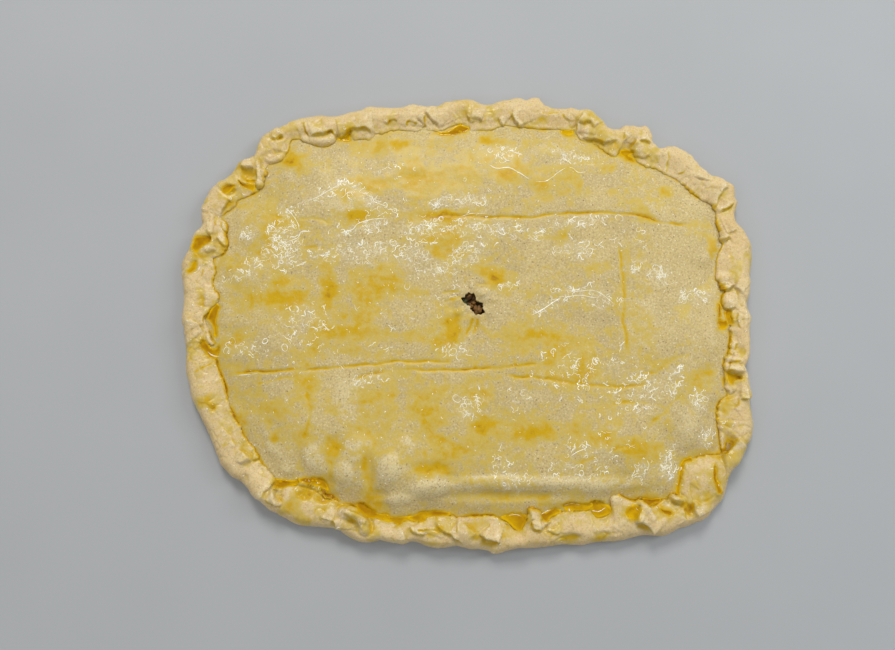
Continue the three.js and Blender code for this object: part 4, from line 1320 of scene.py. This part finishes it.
def shape_base(outline):
    """Base sheet with its folded rim as a grid of points."""
    grid = np.stack(between(rim_keys(outline), RIM_ROWS))
    rows = len(grid)
    side_row = sum(RIM_ROWS[:len(RIM_SIDE) - 1])
    lip_row = sum(RIM_ROWS[:len(RIM_SIDE) + len(RIM_TOP)])
    plan = grid[..., :2].reshape(-1, 2)
    x, y = plan.T
    to_lip = np.linalg.norm(grid[..., :2] - outline.ring(outline.lip, 0.0)[None, :, :2], axis=2).ravel()
    folds, crease_egg = fold_field(plan)
    sunk = folds + spot_field(plan, RIM_DENTS, RIM_READING)
    relief = sunk + lumpy(x, y, *RIM_LUMPS) + rim_wrinkles(x, y, np.tile(outline.along, rows), to_lip)
    weight = smooth((grid[..., 2] - RELIEF_START) / RELIEF_RAMP)
    weight[lip_row + 1:] = 0
    relief = relief.reshape(grid.shape[:2]) * weight
    relief[lip_row - LIP_ROWS:] = np.maximum(relief[lip_row - LIP_ROWS:], -LIP_SINK)
    normal = grid_normals(grid)
    normal[..., 2] = np.abs(normal[..., 2])
    grid = grid + normal * relief[..., None]
    grid[..., 2] = np.maximum(grid[..., 2], 0)
    ridge = np.clip(standing_out(relief) / RIM_RIDGE, -1, 1).ravel()
    egg = rim_egg(plan, sunk, ridge, to_lip, crease_egg) * weight.ravel()
    seen = np.zeros(grid.shape[:2], bool)
    seen[side_row + SIDE_ROWS_UNSEEN:lip_row + 1] = True
    return DoughSheet(grid.reshape(-1, 3), [RIM_STEPS] * rows, seen.ravel(), egg=egg, ridge=ridge)


def build_base(base, material):
    """The base as a closed piece, with a point in the middle of its foot and floor."""
    points = np.vstack([[[VENT_X, VENT_Y, 0.0]], base.points, [[VENT_X, VENT_Y, FLOOR_TOP]]])
    faces = join_rings([1] + base.sizes + [1])
    return add_piece("crimped_base", points, faces, material, base.fields(1, 1))


def vent_ring(angle, grow):
    """Torn edge of the vent, or a ring inside or round it."""
    torn = VENT_WAIST + (VENT_HALF - VENT_WAIST) * np.abs(np.cos(angle - VENT_TURN)) ** VENT_WAIST_EDGE
    torn *= 1 + sum(deep * np.sin(count * angle + start) for deep, count, start in VENT_TEARS)
    torn *= grow
    return np.column_stack([VENT_X + torn * np.cos(angle), VENT_Y + torn * np.sin(angle)])


def vent_lip(x, y):
    """Height of the vent's raised lip and of the puckers round it."""
    away = np.hypot(x - VENT_X, y - VENT_Y)
    turn = np.arctan2(y - VENT_Y, x - VENT_X)
    lip = VENT_LIP_HEIGHT * hump(away, VENT_LIP_WIDTH, VENT_LIP_AWAY)
    pucker = PUCKER_HEIGHT * np.sin(PUCKERS * turn + lumpy(x, y, PUCKER_STRAY))
    return lip + pucker * hump(away, PUCKER_WIDTH, PUCKER_AWAY)


def lid_swell(x, y):
    """Height of the lid's low swells and of the lumps of filling under it."""
    hills = []
    for i in range(SWELLS):
        cx = (chance(i, Draw.SWELL_X) - 0.5) * LENGTH * SWELL_SPREAD
        cy = (chance(i, Draw.SWELL_Y) - 0.5) * WIDTH * SWELL_SPREAD
        radius = SWELL_RADIUS * drawn(i, Draw.SWELL_RADIUS, *SWELL_RADII)
        hills.append((cx, cy, radius, SWELL_HEIGHT * (2 * chance(i, Draw.SWELL_HEIGHT) - 1)))
    rise = np.zeros_like(x)
    for cx, cy, radius, height in hills + LUMPS:
        rise = rise + height * np.exp(-((x - cx) ** 2 + (y - cy) ** 2) / radius ** 2)
    return rise


def lid_top(x, y, past):
    """Height of the lid at a distance past the lip; the front climbs in a shorter run."""
    front = np.clip(-y / (WIDTH / 2), 0, 1)
    share = np.clip((past - TROUGH) / (LID_RUN + LID_RUN_FRONT * front), 0, 1)
    climb = 1 - (1 - share) ** 2
    return TROUGH_HEIGHT + TROUGH_SLOPE * np.minimum(past, TROUGH) + (LID_RISE + lid_swell(x, y)) * climb


def lid_level(x, y, past):
    """Height of the lid, tucked margin included."""
    return np.where(past < 0, TROUGH_HEIGHT + past / TUCK * TUCK_DROP, lid_top(x, y, past))


def lid_rings(outline):
    """Plan of the lid's rings, from tucked margin to vent, and how far past groove and lip they lie."""
    rings = []
    for past in LID_PAST:
        plan = outline.ring(outline.groove + past, 0.0)[:, :2]
        rings.append((plan, np.full(outline.count, past), past + outline.groove - outline.lip))
    rim_ring = rings[-1][0]
    edge = vent_ring(outline.angle, VENT_TORN)
    for share in LID_SHARES:
        every = next(step for limit, step in LID_THINNING if share < limit)
        plan = (rim_ring + (edge - rim_ring) * share)[::every]
        past = LID_INNERMOST + share * np.linalg.norm(edge - rim_ring, axis=1)[::every]
        rings.append((plan, past, past))
    return rings


def lid_egg(plan, ridge, past_lip, crease_egg):
    """How thick the egg lies on the lid."""
    x, y = plan.T
    wandered = plan.copy()
    for amount, size, seed in PATCH_WANDER:
        wandered += amount * np.column_stack([grain(x, y, size, seed), grain(x, y, size, seed + 2)])
    patches = spot_field(wandered, LID_PATCHES, LID_READING, LID_PATCH_EDGE)
    streaks = lumpy(x * STREAK_LONG + lumpy(x, y, STREAK_BEND), y * STREAK_CLOSE, LID_STREAKS)
    film = STREAK_EGG * smooth(streaks / STREAK_RANGE)
    low_spots = LOW_SPOT_EGG * smooth(-ridge) - HIGH_SPOT_DRY * smooth(ridge)
    egg = np.clip(film + low_spots + LID_PATCH_EGG * patches + CREASE_FILM * crease_egg, 0, 1)
    seam = seam_egg(x, y, np.maximum(past_lip, 0), LID_SEAM, LID_SEAM_SPOTS)
    return np.maximum(np.maximum(egg, seam), CREASE_EGG * crease_egg)


def shape_lid(outline):
    """Lid with its creases, swells and torn vent as rings of points."""
    plans, pasts, past_lips = zip(*lid_rings(outline))
    plan = np.vstack(plans)
    past = np.concatenate(pasts)
    past_lip = np.concatenate(past_lips)
    x, y = plan.T
    shown = smooth(past / LID_SHOWN)
    depth, crease_egg = crease_field(plan)
    waves = lumpy(x, y, *LID_WAVES)
    drape = lumpy(x, y, LID_DRAPE) * hump(past, DRAPE_PAST, DRAPE_PAST)
    dents = spot_field(plan, LID_DENTS, LID_READING)
    z = lid_level(x, y, past) + (waves + drape - depth) * shown + vent_lip(x, y) + dents
    ridge = np.clip((WAVE_RIDGE_SHARE * waves + drape + dents) / LID_RIDGE, -1, 1) * shown
    egg = lid_egg(plan, ridge, past_lip, crease_egg)
    froth = froth_field(plan)
    sizes = [len(ring) for ring in plans]
    return DoughSheet(np.column_stack([plan, z]), sizes, past_lip > 0, egg=egg, ridge=ridge, froth=froth)


def build_lid(lid, material):
    """The lid as a closed piece, with its torn edge turned down and its underside."""
    starts = np.r_[0, np.cumsum(lid.sizes)]
    every = lid.sizes[0] // lid.sizes[-1]

    def ring(row):
        return lid.points[starts[row]:starts[row + 1]]

    edge = ring(len(lid.sizes) - 1)
    shoulder = ring(len(LID_PAST))[::every]
    trough = ring(LIP_RING)[::every]
    drop = np.array([0, 0, SHEET])
    below = [edge - drop * VENT_EDGE_SHARE, edge - drop, shoulder - drop, trough - drop, ring(0) - drop]
    points = np.vstack([lid.points] + below)
    faces = join_rings(lid.sizes + [len(under) for under in below], closed=True)
    return add_piece("lid_sheet", points, faces, material, lid.fields(0, len(points) - len(lid.points)))


def build_filling(material):
    """Layer of filling under the lid, heaped and lumpy where the vent shows it."""
    outline = Outline(FILLING_STEPS)
    angle = outline.angle
    lift = -SHEET - FILLING_GAP
    floor = FLOOR_TOP + GAP

    def under_lid(plan, past, higher):
        return np.column_stack([plan, lid_top(*plan.T, past) + lift + higher])

    rings = [np.array([[VENT_X, VENT_Y, floor]])]
    rings.append(outline.ring(outline.groove + FLOOR_RAMP, floor))
    rings.append(outline.ring(outline.groove + FILLING_EDGE, floor + FILLING_EDGE_LIFT))
    for past in FILLING_PAST:
        rings.append(under_lid(outline.ring(outline.groove + past, 0.0)[:, :2], past, 0.0))
    outer, edge = rings[-1][:, :2], vent_ring(angle, FILLING_VENT)
    for share in FILLING_SHARES:
        rings.append(under_lid(outer + (edge - outer) * share, WELL_PAST, 0.0))
    for grow in HEAP_RINGS:
        plan = vent_ring(angle, grow)
        rings.append(under_lid(plan, WELL_PAST, HEAP_LIFT + lumpy(*plan.T, HEAP_LUMPS)))
    rings.append(np.array([[VENT_X, VENT_Y, rings[-1][:, 2].mean()]]))
    heap = Heap()
    heap.add_rings(rings, 0.0)
    return heap.piece("filling_layer", material)


def chunk(middle, size, seed, unevenness, steps):
    """A small uneven chunk as rings between two poles."""
    pole = np.array([[0, 0, size * CHUNK_POLE]])
    rings = [middle - pole]
    turn = np.arange(steps) * 2 * math.pi / steps
    for k in range(1, steps // 2):
        tilt = math.pi * k / (steps // 2)
        flat = math.sin(tilt)
        ring = np.column_stack([flat * np.cos(turn), flat * np.sin(turn), np.full(steps, -math.cos(tilt))])
        x, y, z = ring.T
        swell = 1 + unevenness * grain(x + z, y - CHUNK_LEAN * z, CHUNK_GRAIN, seed)
        rings.append(middle + ring * swell[:, None] * size / 2 * CHUNK_SQUASH)
    return rings + [middle + pole]


def build_bits(material):
    """Chunks of filling in the vent."""
    heap = Heap()
    for k, (px, py, size, green) in enumerate(VENT_BITS):
        plan = from_photo((px, py), BIT_READING)[0]
        height = lid_top(plan[:1], plan[1:], WELL_PAST)[0] - SHEET + BIT_LIFT
        heap.add_rings(chunk(np.array([[*plan, height]]), size, BIT_SEED + k, BIT_UNEVEN, BIT_STEPS), green)
    return heap.piece("vent_bits", material)


def strand_line(start, heading, length, seed):
    """A wandering line of one strand in the plan."""
    walked = np.arange(max(STRAND_FEWEST, int(length / FROTH_STEP))) * FROTH_STEP
    turn = heading + lumpy(walked, seed * STRAND_APART, STRAND_CURL)
    return start + np.cumsum(np.column_stack([np.cos(turn), np.sin(turn)]) * FROTH_STEP, axis=0)


def ring_line(middle, radius, seed):
    """A ring left by a bubble, sometimes not quite closed."""
    turned = np.linspace(0, drawn(seed, Draw.RING_TURN, *RING_TURNS), RING_POINTS)
    turn = chance(seed, Draw.RING_START) * FULL_TURN + turned
    wobble = radius * (1 + RING_WOBBLE * np.sin(2 * turn + seed))
    return middle + np.column_stack([np.cos(turn), np.sin(turn)]) * wobble[:, None]


def froth_strands(start, lean, seed):
    """One ring, dot or strand with its fork, as lines with their widths."""
    width = FROTH_WIDTH * drawn(seed, Draw.STRAND_WIDTH, *STRAND_WIDTHS)
    if chance(seed, Draw.RING) < FROTH_RINGS:
        ring = ring_line(start, drawn(seed, Draw.RING_RADIUS, *RING_RADII), seed)
        return [(ring, width * SIDE_WIDTH)]
    heading = lean + STRAND_HEADING * (2 * chance(seed, Draw.STRAND_HEADING) - 1)
    dot = chance(seed, Draw.DOT) < FROTH_DOTS
    length = DOT_LENGTH if dot else drawn(seed, Draw.STRAND_LENGTH, *STRAND_LENGTHS)
    strand = strand_line(start, heading, length, seed)
    if length <= FORK_FROM or chance(seed, Draw.FORK) >= FROTH_FORKS:
        return [(strand, width)]
    side = heading + math.copysign(FORK_TURN, chance(seed, Draw.FORK_SIDE) - 0.5)
    fork = strand_line(strand[len(strand) // 2], side, FORK_LENGTH * length, seed + FORK_SEED)
    return [(strand, width), (fork, width * SIDE_WIDTH)]


def froth_lines(perches):
    """Lines and widths of the strands on the lid and of the painted glint specks on the rim."""
    lines = [(bent(from_photo(pixels, LID_READING), FINE_CURVE), width) for pixels, width in FROTH_LINES]
    seed = 0
    for px, py, half_x, half_y, slant, count in LID_FROTH:
        lean = math.radians(slant)
        middle = from_photo((px, py), LID_READING)[0]
        spread = lean if half_x > half_y else 0.0
        for _ in range(int(count * FROTH_SHARE)):
            seed += 1
            out = chance(seed, Draw.STRAND_OUT) ** FROTH_CROWDING
            turn = 2 * math.pi * chance(seed, Draw.STRAND_ROUND)
            reach = FROTH_SPREAD * PX * out
            along, across = half_x * reach * math.cos(turn), half_y * reach * math.sin(turn)
            start = middle + np.array([along * math.cos(spread) - across * math.sin(spread),
                                       along * math.sin(spread) + across * math.cos(spread)])
            lines += froth_strands(start, lean, seed)
    for spark in range(FROTH_SPARKS):
        place = np.array([(chance(spark, Draw.SPARK_X) - 0.5) * LENGTH * SPARK_REACH[0],
                          (chance(spark, Draw.SPARK_Y) - 0.5) * WIDTH * SPARK_REACH[1]])
        heading = FULL_TURN * chance(spark, Draw.SPARK_HEADING)
        line = strand_line(place, heading, SPARK_LENGTH, spark)
        lines.append((line, drawn(spark, Draw.SPARK_WIDTH, *SPARK_WIDTHS)))
    for speck in range(RIM_SPECKS):
        place = perches[int(chance(speck, Draw.SPECK_PLACE) * len(perches))]
        length = drawn(speck, Draw.SPECK_LENGTH, *SPECK_LENGTHS)
        heading = FULL_TURN * chance(speck, Draw.SPECK_HEADING)
        line = strand_line(place, heading, length, speck)
        lines.append((line, drawn(speck, Draw.SPECK_WIDTH, *SPECK_WIDTHS)))
    return lines


def strand_faces(count, size):
    """Faces of a closed strand, from rings of one size."""
    faces = [[low + j, low + size + j, low + size + (j + 1) % size, low + (j + 1) % size]
             for low in range(0, (count - 1) * size, size) for j in range(size)]
    return faces + [list(range(size)), [count * size - 1 - j for j in range(size)]]


def build_froth(pieces, perches, material):
    """Thin raised strands and rings of egg on the dough and the pools, coloured as painted glints."""
    corners, sides = [], []
    for piece in pieces:
        sides += [[len(corners) + i for i in side.vertices] for side in piece.data.polygons]
        corners += [corner.co / MM for corner in piece.data.vertices]
    ground = BVHTree.FromPolygons(corners, sides)
    down = Vector((0, 0, -1))
    heap = Heap()
    for k, (line, width) in enumerate(froth_lines(perches)):
        hits = [ground.ray_cast(Vector((x, y, ABOVE_ALL)), down)[0] for x, y in line]
        if any(hit is None for hit in hits):
            continue
        spine = np.array([tuple(hit) for hit in hits])
        if np.abs(np.diff(spine[:, 2])).max() > FROTH_STEEP * FROTH_STEP:
            continue
        side = leftward(np.gradient(line, axis=0))
        share = np.linspace(0, 1, len(line))
        taper = width * (STRAND_TIP + (1 - STRAND_TIP) * both_ends(share, STRAND_ENDS))
        beads = lumpy(np.arange(len(line)) * FROTH_STEP, k * BEAD_APART, STRAND_BEADS)
        taper *= np.clip(BEAD_MEAN + beads, *BEAD_RANGE)
        points = [(x + sx * w * across, y + sy * w * across, z + w * up)
                  for (x, y, z), (sx, sy), w in zip(spine, side, taper) for across, up in STRAND_SECTION]
        heap.add(points, strand_faces(len(line), len(STRAND_SECTION)), chance(k, Draw.STRAND_TONE))
    return heap.piece("egg_strands", material)


def maths(operation, flipped=False):
    """A method of a wire that adds one Math node."""
    def method(self, other):
        first, second = (other, self) if flipped else (self, other)
        return self.kit.node("ShaderNodeMath", {"operation": operation}, {0: first, 1: second})
    return method


class Wire:
    """A value of a node tree; arithmetic on it adds Math nodes."""

    def __init__(self, kit, socket):
        self.kit, self.socket = kit, socket

    __add__ = maths("ADD")
    __radd__ = maths("ADD", flipped=True)
    __sub__ = maths("SUBTRACT")
    __rsub__ = maths("SUBTRACT", flipped=True)
    __mul__ = maths("MULTIPLY")
    __rmul__ = maths("MULTIPLY", flipped=True)
    larger = maths("MAXIMUM")


# Soft edge of the choice of spots, and the scale of a web's bends against its cells
PICK_EDGE = 0.02
WEB_BEND = 0.9


class Finish:
    """One material and the nodes that make it."""

    def __init__(self, name):
        self.material = bpy.data.materials.new(name)
        self.material.use_nodes = True
        self.tree = self.material.node_tree
        self.tree.nodes.clear()
        self.output = self.tree.nodes.new("ShaderNodeOutputMaterial")

    def node(self, kind, settings=None, sockets=None, result=0):
        """Adds a node with its settings and the values or wires of its sockets."""
        made = self.tree.nodes.new(kind)
        for key, value in (settings or {}).items():
            setattr(made, key, value)
        for key, value in (sockets or {}).items():
            if isinstance(value, Wire):
                self.tree.links.new(value.socket, made.inputs[key])
            else:
                made.inputs[key].default_value = value
        return Wire(self, made.outputs[result])

    def stored(self, name):
        """A value stored on the piece's points."""
        return self.node("ShaderNodeAttribute", {"attribute_name": name}, result="Fac")

    def place(self):
        """Where on the pie, in metres."""
        return self.node("ShaderNodeNewGeometry", result="Position")

    def noise(self, scale, detail=2.0, distortion=0.0, roughness=0.5):
        """Cloudy noise from 0 to 1."""
        sockets = {"Vector": self.place(), "Scale": scale, "Detail": detail,
                   "Distortion": distortion, "Roughness": roughness}
        return self.node("ShaderNodeTexNoise", None, sockets)

    def webbed(self, scale, stray):
        """Distance from the straying walls of flat cells."""
        sockets = {"Vector": self.place(), "Scale": scale * WEB_BEND}
        bend = self.node("ShaderNodeTexNoise", None, sockets, result="Color")
        moved = self.node("ShaderNodeVectorMath", {"operation": "SCALE"}, {0: bend, "Scale": stray})
        place = self.node("ShaderNodeVectorMath", {"operation": "ADD"}, {0: self.place(), 1: moved})
        settings = {"voronoi_dimensions": "2D", "feature": "DISTANCE_TO_EDGE"}
        return self.node("ShaderNodeTexVoronoi", settings, {"Vector": place, "Scale": scale})

    def spots(self, scale, inner, outer, share):
        """Round spots on a share of scattered points."""
        sockets = {"Vector": self.place(), "Scale": scale}
        far = self.node("ShaderNodeTexVoronoi", None, sockets, "Distance")
        tint = self.node("ShaderNodeTexVoronoi", None, sockets, "Color")
        red = self.node("ShaderNodeSeparateColor", None, {"Color": tint}, "Red")
        picked = self.ramp(red, share - PICK_EDGE, share + PICK_EDGE, 1.0, 0.0)
        return self.ramp(far, inner, outer, 1.0, 0.0) * picked

    def ramp(self, value, low, high, to_low=0.0, to_high=1.0):
        """A value eased from one range to another."""
        sockets = {"Value": value, "From Min": low, "From Max": high, "To Min": to_low, "To Max": to_high}
        return self.node("ShaderNodeMapRange", {"interpolation_type": "SMOOTHSTEP"}, sockets)

    def mix(self, share, first, second):
        """Two colours mixed by a share."""
        settings = {"data_type": "RGBA", "clamp_factor": True}
        return self.node("ShaderNodeMix", settings, {0: share, 6: first, 7: second}, result=2)

    def bump(self, height, distance, below=None):
        """Relief of a height from 0 to 1 times a distance in metres."""
        sockets = {"Height": height, "Strength": 1.0, "Distance": distance}
        if below is not None:
            sockets["Normal"] = below
        return self.node("ShaderNodeBump", None, sockets)

    def surface(self, sockets):
        """Closes the material with one shader."""
        shader = self.node("ShaderNodeBsdfPrincipled", None, sockets)
        self.tree.links.new(shader.socket, self.output.inputs["Surface"])
        return self.material


def colour(red, green, blue):
    """An opaque colour."""
    return (red, green, blue, 1.0)


# Colours of the dough and its flecks, of egg and froth, of the filling and of the floor; some are painted
# light: a ridge highlight, pool shade, sheen and glints
LID_LIGHT = colour(0.595, 0.465, 0.205)
LID_GREY = colour(0.535, 0.42, 0.195)
RIM_LIGHT = colour(0.71, 0.54, 0.275)
RIM_WARM = colour(0.675, 0.49, 0.225)
BRAN = colour(0.21, 0.12, 0.045)
BRAN_PALE = colour(0.40, 0.28, 0.115)
MEAL_PALE = colour(0.79, 0.665, 0.365)
FLOUR_PALE = colour(0.80, 0.69, 0.42)
THIN_EGG = colour(0.60, 0.438, 0.083)
THICK_EGG = colour(0.595, 0.365, 0.0)
DEEP_EGG = colour(0.40, 0.18, 0.0)
POOL_YELLOW = colour(0.78, 0.48, 0.0)
POOL_AMBER = colour(0.33, 0.13, 0.0)
FROTH_HAZE = colour(0.72, 0.65, 0.45)
FROTH_WHITE = colour(1.0, 0.97, 0.86)
FROTH_CREAM = colour(0.88, 0.79, 0.52)
FILLING_DARK = colour(0.06, 0.028, 0.007)
FILLING_BROWN = colour(0.25, 0.125, 0.03)
HERB_DARK = colour(0.03, 0.038, 0.012)
HERB_GREEN = colour(0.09, 0.10, 0.035)
FLOOR_DARK = colour(0.40, 0.41, 0.415)
FLOOR_LIGHT = colour(0.44, 0.45, 0.455)

# Scales of the dough's noises, in lumps or cells for each metre
DOUGH_CLOUDS = 38.0
MEAL_GRAINS = 1000.0
BRAN_FLECKS = 420.0
FILM_CLOUDS = 34.0
FILM_MOTTLE = 240.0
FROTH_CLOUDS = 110.0
FROTH_WEB = 270.0
FROTH_BREAKS = 280.0
DOUGH_SKIN = 900.0
EGG_FLOW = 220.0


def dough_finish(name, light, shade_tone, film_range, gloss, bran):
    """Raw wheat dough with brown flecks, under egg as thick as its stored value; ridges get a painted
    highlight, and where the egg foam lies a painted sheen and a web of painted glints.
    """
    kit = Finish(name)
    base = kit.mix(kit.ramp(kit.noise(DOUGH_CLOUDS, 3.0), 0.35, 0.65), light, shade_tone)
    # Paler ridges: partly flour on the raised dough, partly a painted highlight where raised edges catch
    # the light
    base = kit.mix(kit.ramp(kit.stored("ridge"), 0.1, 0.9) * 0.4, base, FLOUR_PALE)
    meal = kit.noise(MEAL_GRAINS, 3.0, roughness=0.65)
    base = kit.mix(kit.ramp(meal, 0.5, 0.7) * (0.25 + 0.75 * bran), base, BRAN_PALE)
    base = kit.mix(kit.ramp(meal, 0.3, 0.48, 0.2 + 0.7 * bran, 0.0), base, MEAL_PALE)
    base = kit.mix(kit.spots(BRAN_FLECKS, 0.1, 0.24, 0.35) * bran, base, BRAN)
    film = kit.ramp(kit.noise(FILM_CLOUDS, 6.0, distortion=0.8), *film_range)
    mottle = kit.noise(FILM_MOTTLE, 5.0, distortion=0.3, roughness=0.62) - 0.5
    egg = kit.stored("egg") + film * 0.3 + mottle * 1.5
    thin = kit.ramp(egg, 0.1, 0.52)
    shade = kit.mix(thin * 0.9, base, THIN_EGG)
    shade = kit.mix(kit.ramp(egg, 0.45, 0.95), shade, THICK_EGG)
    shade = kit.mix(kit.ramp(egg, 1.0, 1.5), shade, DEEP_EGG)
    clouds = (kit.noise(FROTH_CLOUDS, 3.0) - 0.5) * 1.4
    # Where froth lies: the mask that places the painted sheen and glints
    froth = kit.ramp(kit.stored("froth") * 0.85 + clouds, 0.2, 0.75)
    # Painted sheen: a pale haze where froth lies stands in for the reflection on wet egg
    shade = kit.mix(froth * 0.15, shade, FROTH_HAZE)
    # Painted glints: a broken web of white lines where froth lies stands in for highlights on the wet egg
    walls = kit.ramp(kit.webbed(FROTH_WEB, 0.008), 0.015, 0.1, 1.0, 0.0)
    walls = walls * kit.ramp(kit.noise(FROTH_BREAKS, 3.0), 0.47, 0.58)
    shade = kit.mix(froth * walls * 0.5, shade, FROTH_WHITE)
    wet = film.larger(thin)
    skin = kit.bump(kit.noise(DOUGH_SKIN, 3.0), 0.00012)
    flow = kit.bump(kit.noise(EGG_FLOW, 3.0, distortion=0.5), 0.00025, skin)
    return kit.surface({
        "Base Color": shade,
        "Roughness": 0.6 - wet * 0.15,
        "Coat Weight": gloss * (0.3 + 0.7 * wet),
        "Coat Roughness": 0.22,
        "Coat IOR": 1.45,
        "Specular IOR Level": 0.2,
        "Subsurface Weight": 0.2,
        "Subsurface Radius": (1.0, 0.6, 0.3),
        "Subsurface Scale": 0.003,
        "Normal": flow,
    })


def froth_finish():
    """Thin strands of beaten egg, coloured white to cream as painted glints on the wet film."""
    kit = Finish("egg_froth")
    share = kit.stored("tint") * 0.5 + kit.ramp(kit.noise(260.0), 0.35, 0.65) * 0.5
    return kit.surface({
        "Base Color": kit.mix(share, FROTH_WHITE, FROTH_CREAM),
        "Roughness": 0.3,
        "Coat Weight": 0.9,
        "Coat Roughness": 0.08,
        "Coat IOR": 1.5,
        "Normal": kit.bump(kit.noise(1200.0), 0.0001),
    })


def egg_finish():
    """Egg standing in a pool: yellow where thin, amber where deep, with painted shade darker towards the
    back, glossy, with fine bubbles.
    """
    kit = Finish("beaten_egg")
    clouds = kit.ramp(kit.noise(110.0, 3.0), 0.35, 0.65)
    tone = kit.stored("tint") * 0.7 + clouds * 0.45 - 0.08
    bubbles = kit.spots(700.0, 0.15, 0.4, 0.2)
    return kit.surface({
        "Base Color": kit.mix(tone, POOL_YELLOW, POOL_AMBER),
        "Roughness": 0.4,
        "Coat Weight": 0.3,
        "Coat Roughness": 0.05,
        "Specular IOR Level": 0.0,
        "Normal": kit.bump(bubbles, 0.00015, kit.bump(kit.noise(150.0), 0.0006)),
    })


def filling_finish():
    """Moist filling, brown, or green where the stored tint says so."""
    kit = Finish("moist_filling")
    mottle = kit.ramp(kit.noise(300.0, 3.0), 0.35, 0.65)
    brown = kit.mix(mottle, FILLING_DARK, FILLING_BROWN)
    green = kit.mix(kit.noise(400.0), HERB_DARK, HERB_GREEN)
    return kit.surface({
        "Base Color": kit.mix(kit.ramp(kit.stored("tint"), 0.4, 0.6), brown, green),
        "Roughness": 0.5,
        "Coat Weight": 0.12,
        "Coat Roughness": 0.15,
        "Specular IOR Level": 0.2,
        "Normal": kit.bump(kit.noise(700.0, 3.0), 0.0006),
    })


# Stage: half the floor's width in millimetres, the room's colour and strength, and the lamps' tints
FLOOR_HALF = 3000
ROOM_COLOUR = colour(0.95, 0.97, 1.0)
ROOM_STRENGTH = 0.44
WARM_LIGHT = (1.0, 0.98, 0.95)
COOL_LIGHT = (0.9, 0.95, 1.0)


def area_light(name, place, size, power, tint):
    """A rectangular lamp aimed at the pie."""
    data = bpy.data.lights.new(name, "AREA")
    data.shape = "RECTANGLE"
    data.size, data.size_y = size
    data.energy = power
    data.color = tint
    lamp = put(name, data)
    lamp.location = place
    lamp.rotation_euler = (-Vector(place)).to_track_quat("-Z", "Y").to_euler()


def set_floor():
    """Plain floor, wide enough to fill the view."""
    kit = Finish("pale_floor")
    shade = kit.mix(kit.noise(9.0, 4.0), FLOOR_DARK, FLOOR_LIGHT)
    material = kit.surface({"Base Color": shade, "Roughness": 0.8, "Specular IOR Level": 0.2})
    corners = [(x * FLOOR_HALF, y * FLOOR_HALF, 0) for x, y in ((-1, -1), (1, -1), (1, 1), (-1, 1))]
    floor = add_piece("floor", corners, [[0, 1, 2, 3]], material)


def set_lights():
    """Soft room light with a lamp behind, a fill in front and a window on the right."""
    world = bpy.data.worlds.new("soft_room")
    world.use_nodes = True
    background = world.node_tree.nodes["Background"]
    background.inputs["Color"].default_value = ROOM_COLOUR
    background.inputs["Strength"].default_value = ROOM_STRENGTH
    bpy.context.scene.world = world
    area_light("lamp_back", place=(-0.1, 1.15, 1.3), size=(0.5, 0.5), power=15.2, tint=WARM_LIGHT)
    area_light("fill_front", place=(-0.8, -0.7, 1.1), size=(0.8, 0.8), power=2.2, tint=WARM_LIGHT)
    area_light("window_right", place=(0.95, 0.35, 0.9), size=(0.4, 0.6), power=5.0, tint=COOL_LIGHT)


def set_camera():
    """The photograph's camera."""
    data = bpy.data.cameras.new("camera")
    data.lens = FOCAL_PX / PHOTO_WIDTH * SENSOR
    data.sensor_width = SENSOR
    camera = put("camera", data)
    camera.location = Vector((CAMERA_X, CAMERA_Y, CAMERA_HEIGHT)) * MM
    camera.rotation_euler = (CAMERA_TILT, 0, 0)
    bpy.context.scene.camera = camera
    bpy.context.scene.view_settings.view_transform = "Standard"


def dress(piece, slot, *nodes):
    """Hangs a piece on the body and hides the nodes that it stands for; the slot is not used."""
    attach(piece, "root")
    if nodes:
        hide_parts(*nodes)


rim_material = dough_finish("rim_dough", RIM_LIGHT, RIM_WARM, film_range=(0.42, 0.7), gloss=0.4, bran=0.35)
lid_material = dough_finish("lid_dough", LID_LIGHT, LID_GREY, film_range=(0.4, 0.62), gloss=0.12, bran=0.75)
filling_material = filling_finish()

base = shape_base(Outline(RIM_STEPS))
lid = shape_lid(Outline(LID_STEPS))
pools = [Pool(pixels, index) for index, pixels in enumerate(EGG_POOLS)]
settle_pools(pools, [base, lid])

base_piece = build_base(base, rim_material)
lid_piece = build_lid(lid, lid_material)
filling_piece = build_filling(filling_material)
bits_piece = build_bits(filling_material)
pools_piece = build_pools(pools, egg_finish())
perches = base.points[base.seen & (base.stored["ridge"] > SPECK_RIDGE), :2]
froth_piece = build_froth([base_piece, lid_piece, pools_piece], perches, froth_finish())

dress(base_piece, "rim_dough", "base")
dress(lid_piece, "lid_dough", "lid")
dress(filling_piece, "filling", "filling")
dress(bits_piece, "filling")
dress(pools_piece, "rim_dough")
dress(froth_piece, "lid_dough")
set_floor()
set_lights()
set_camera()
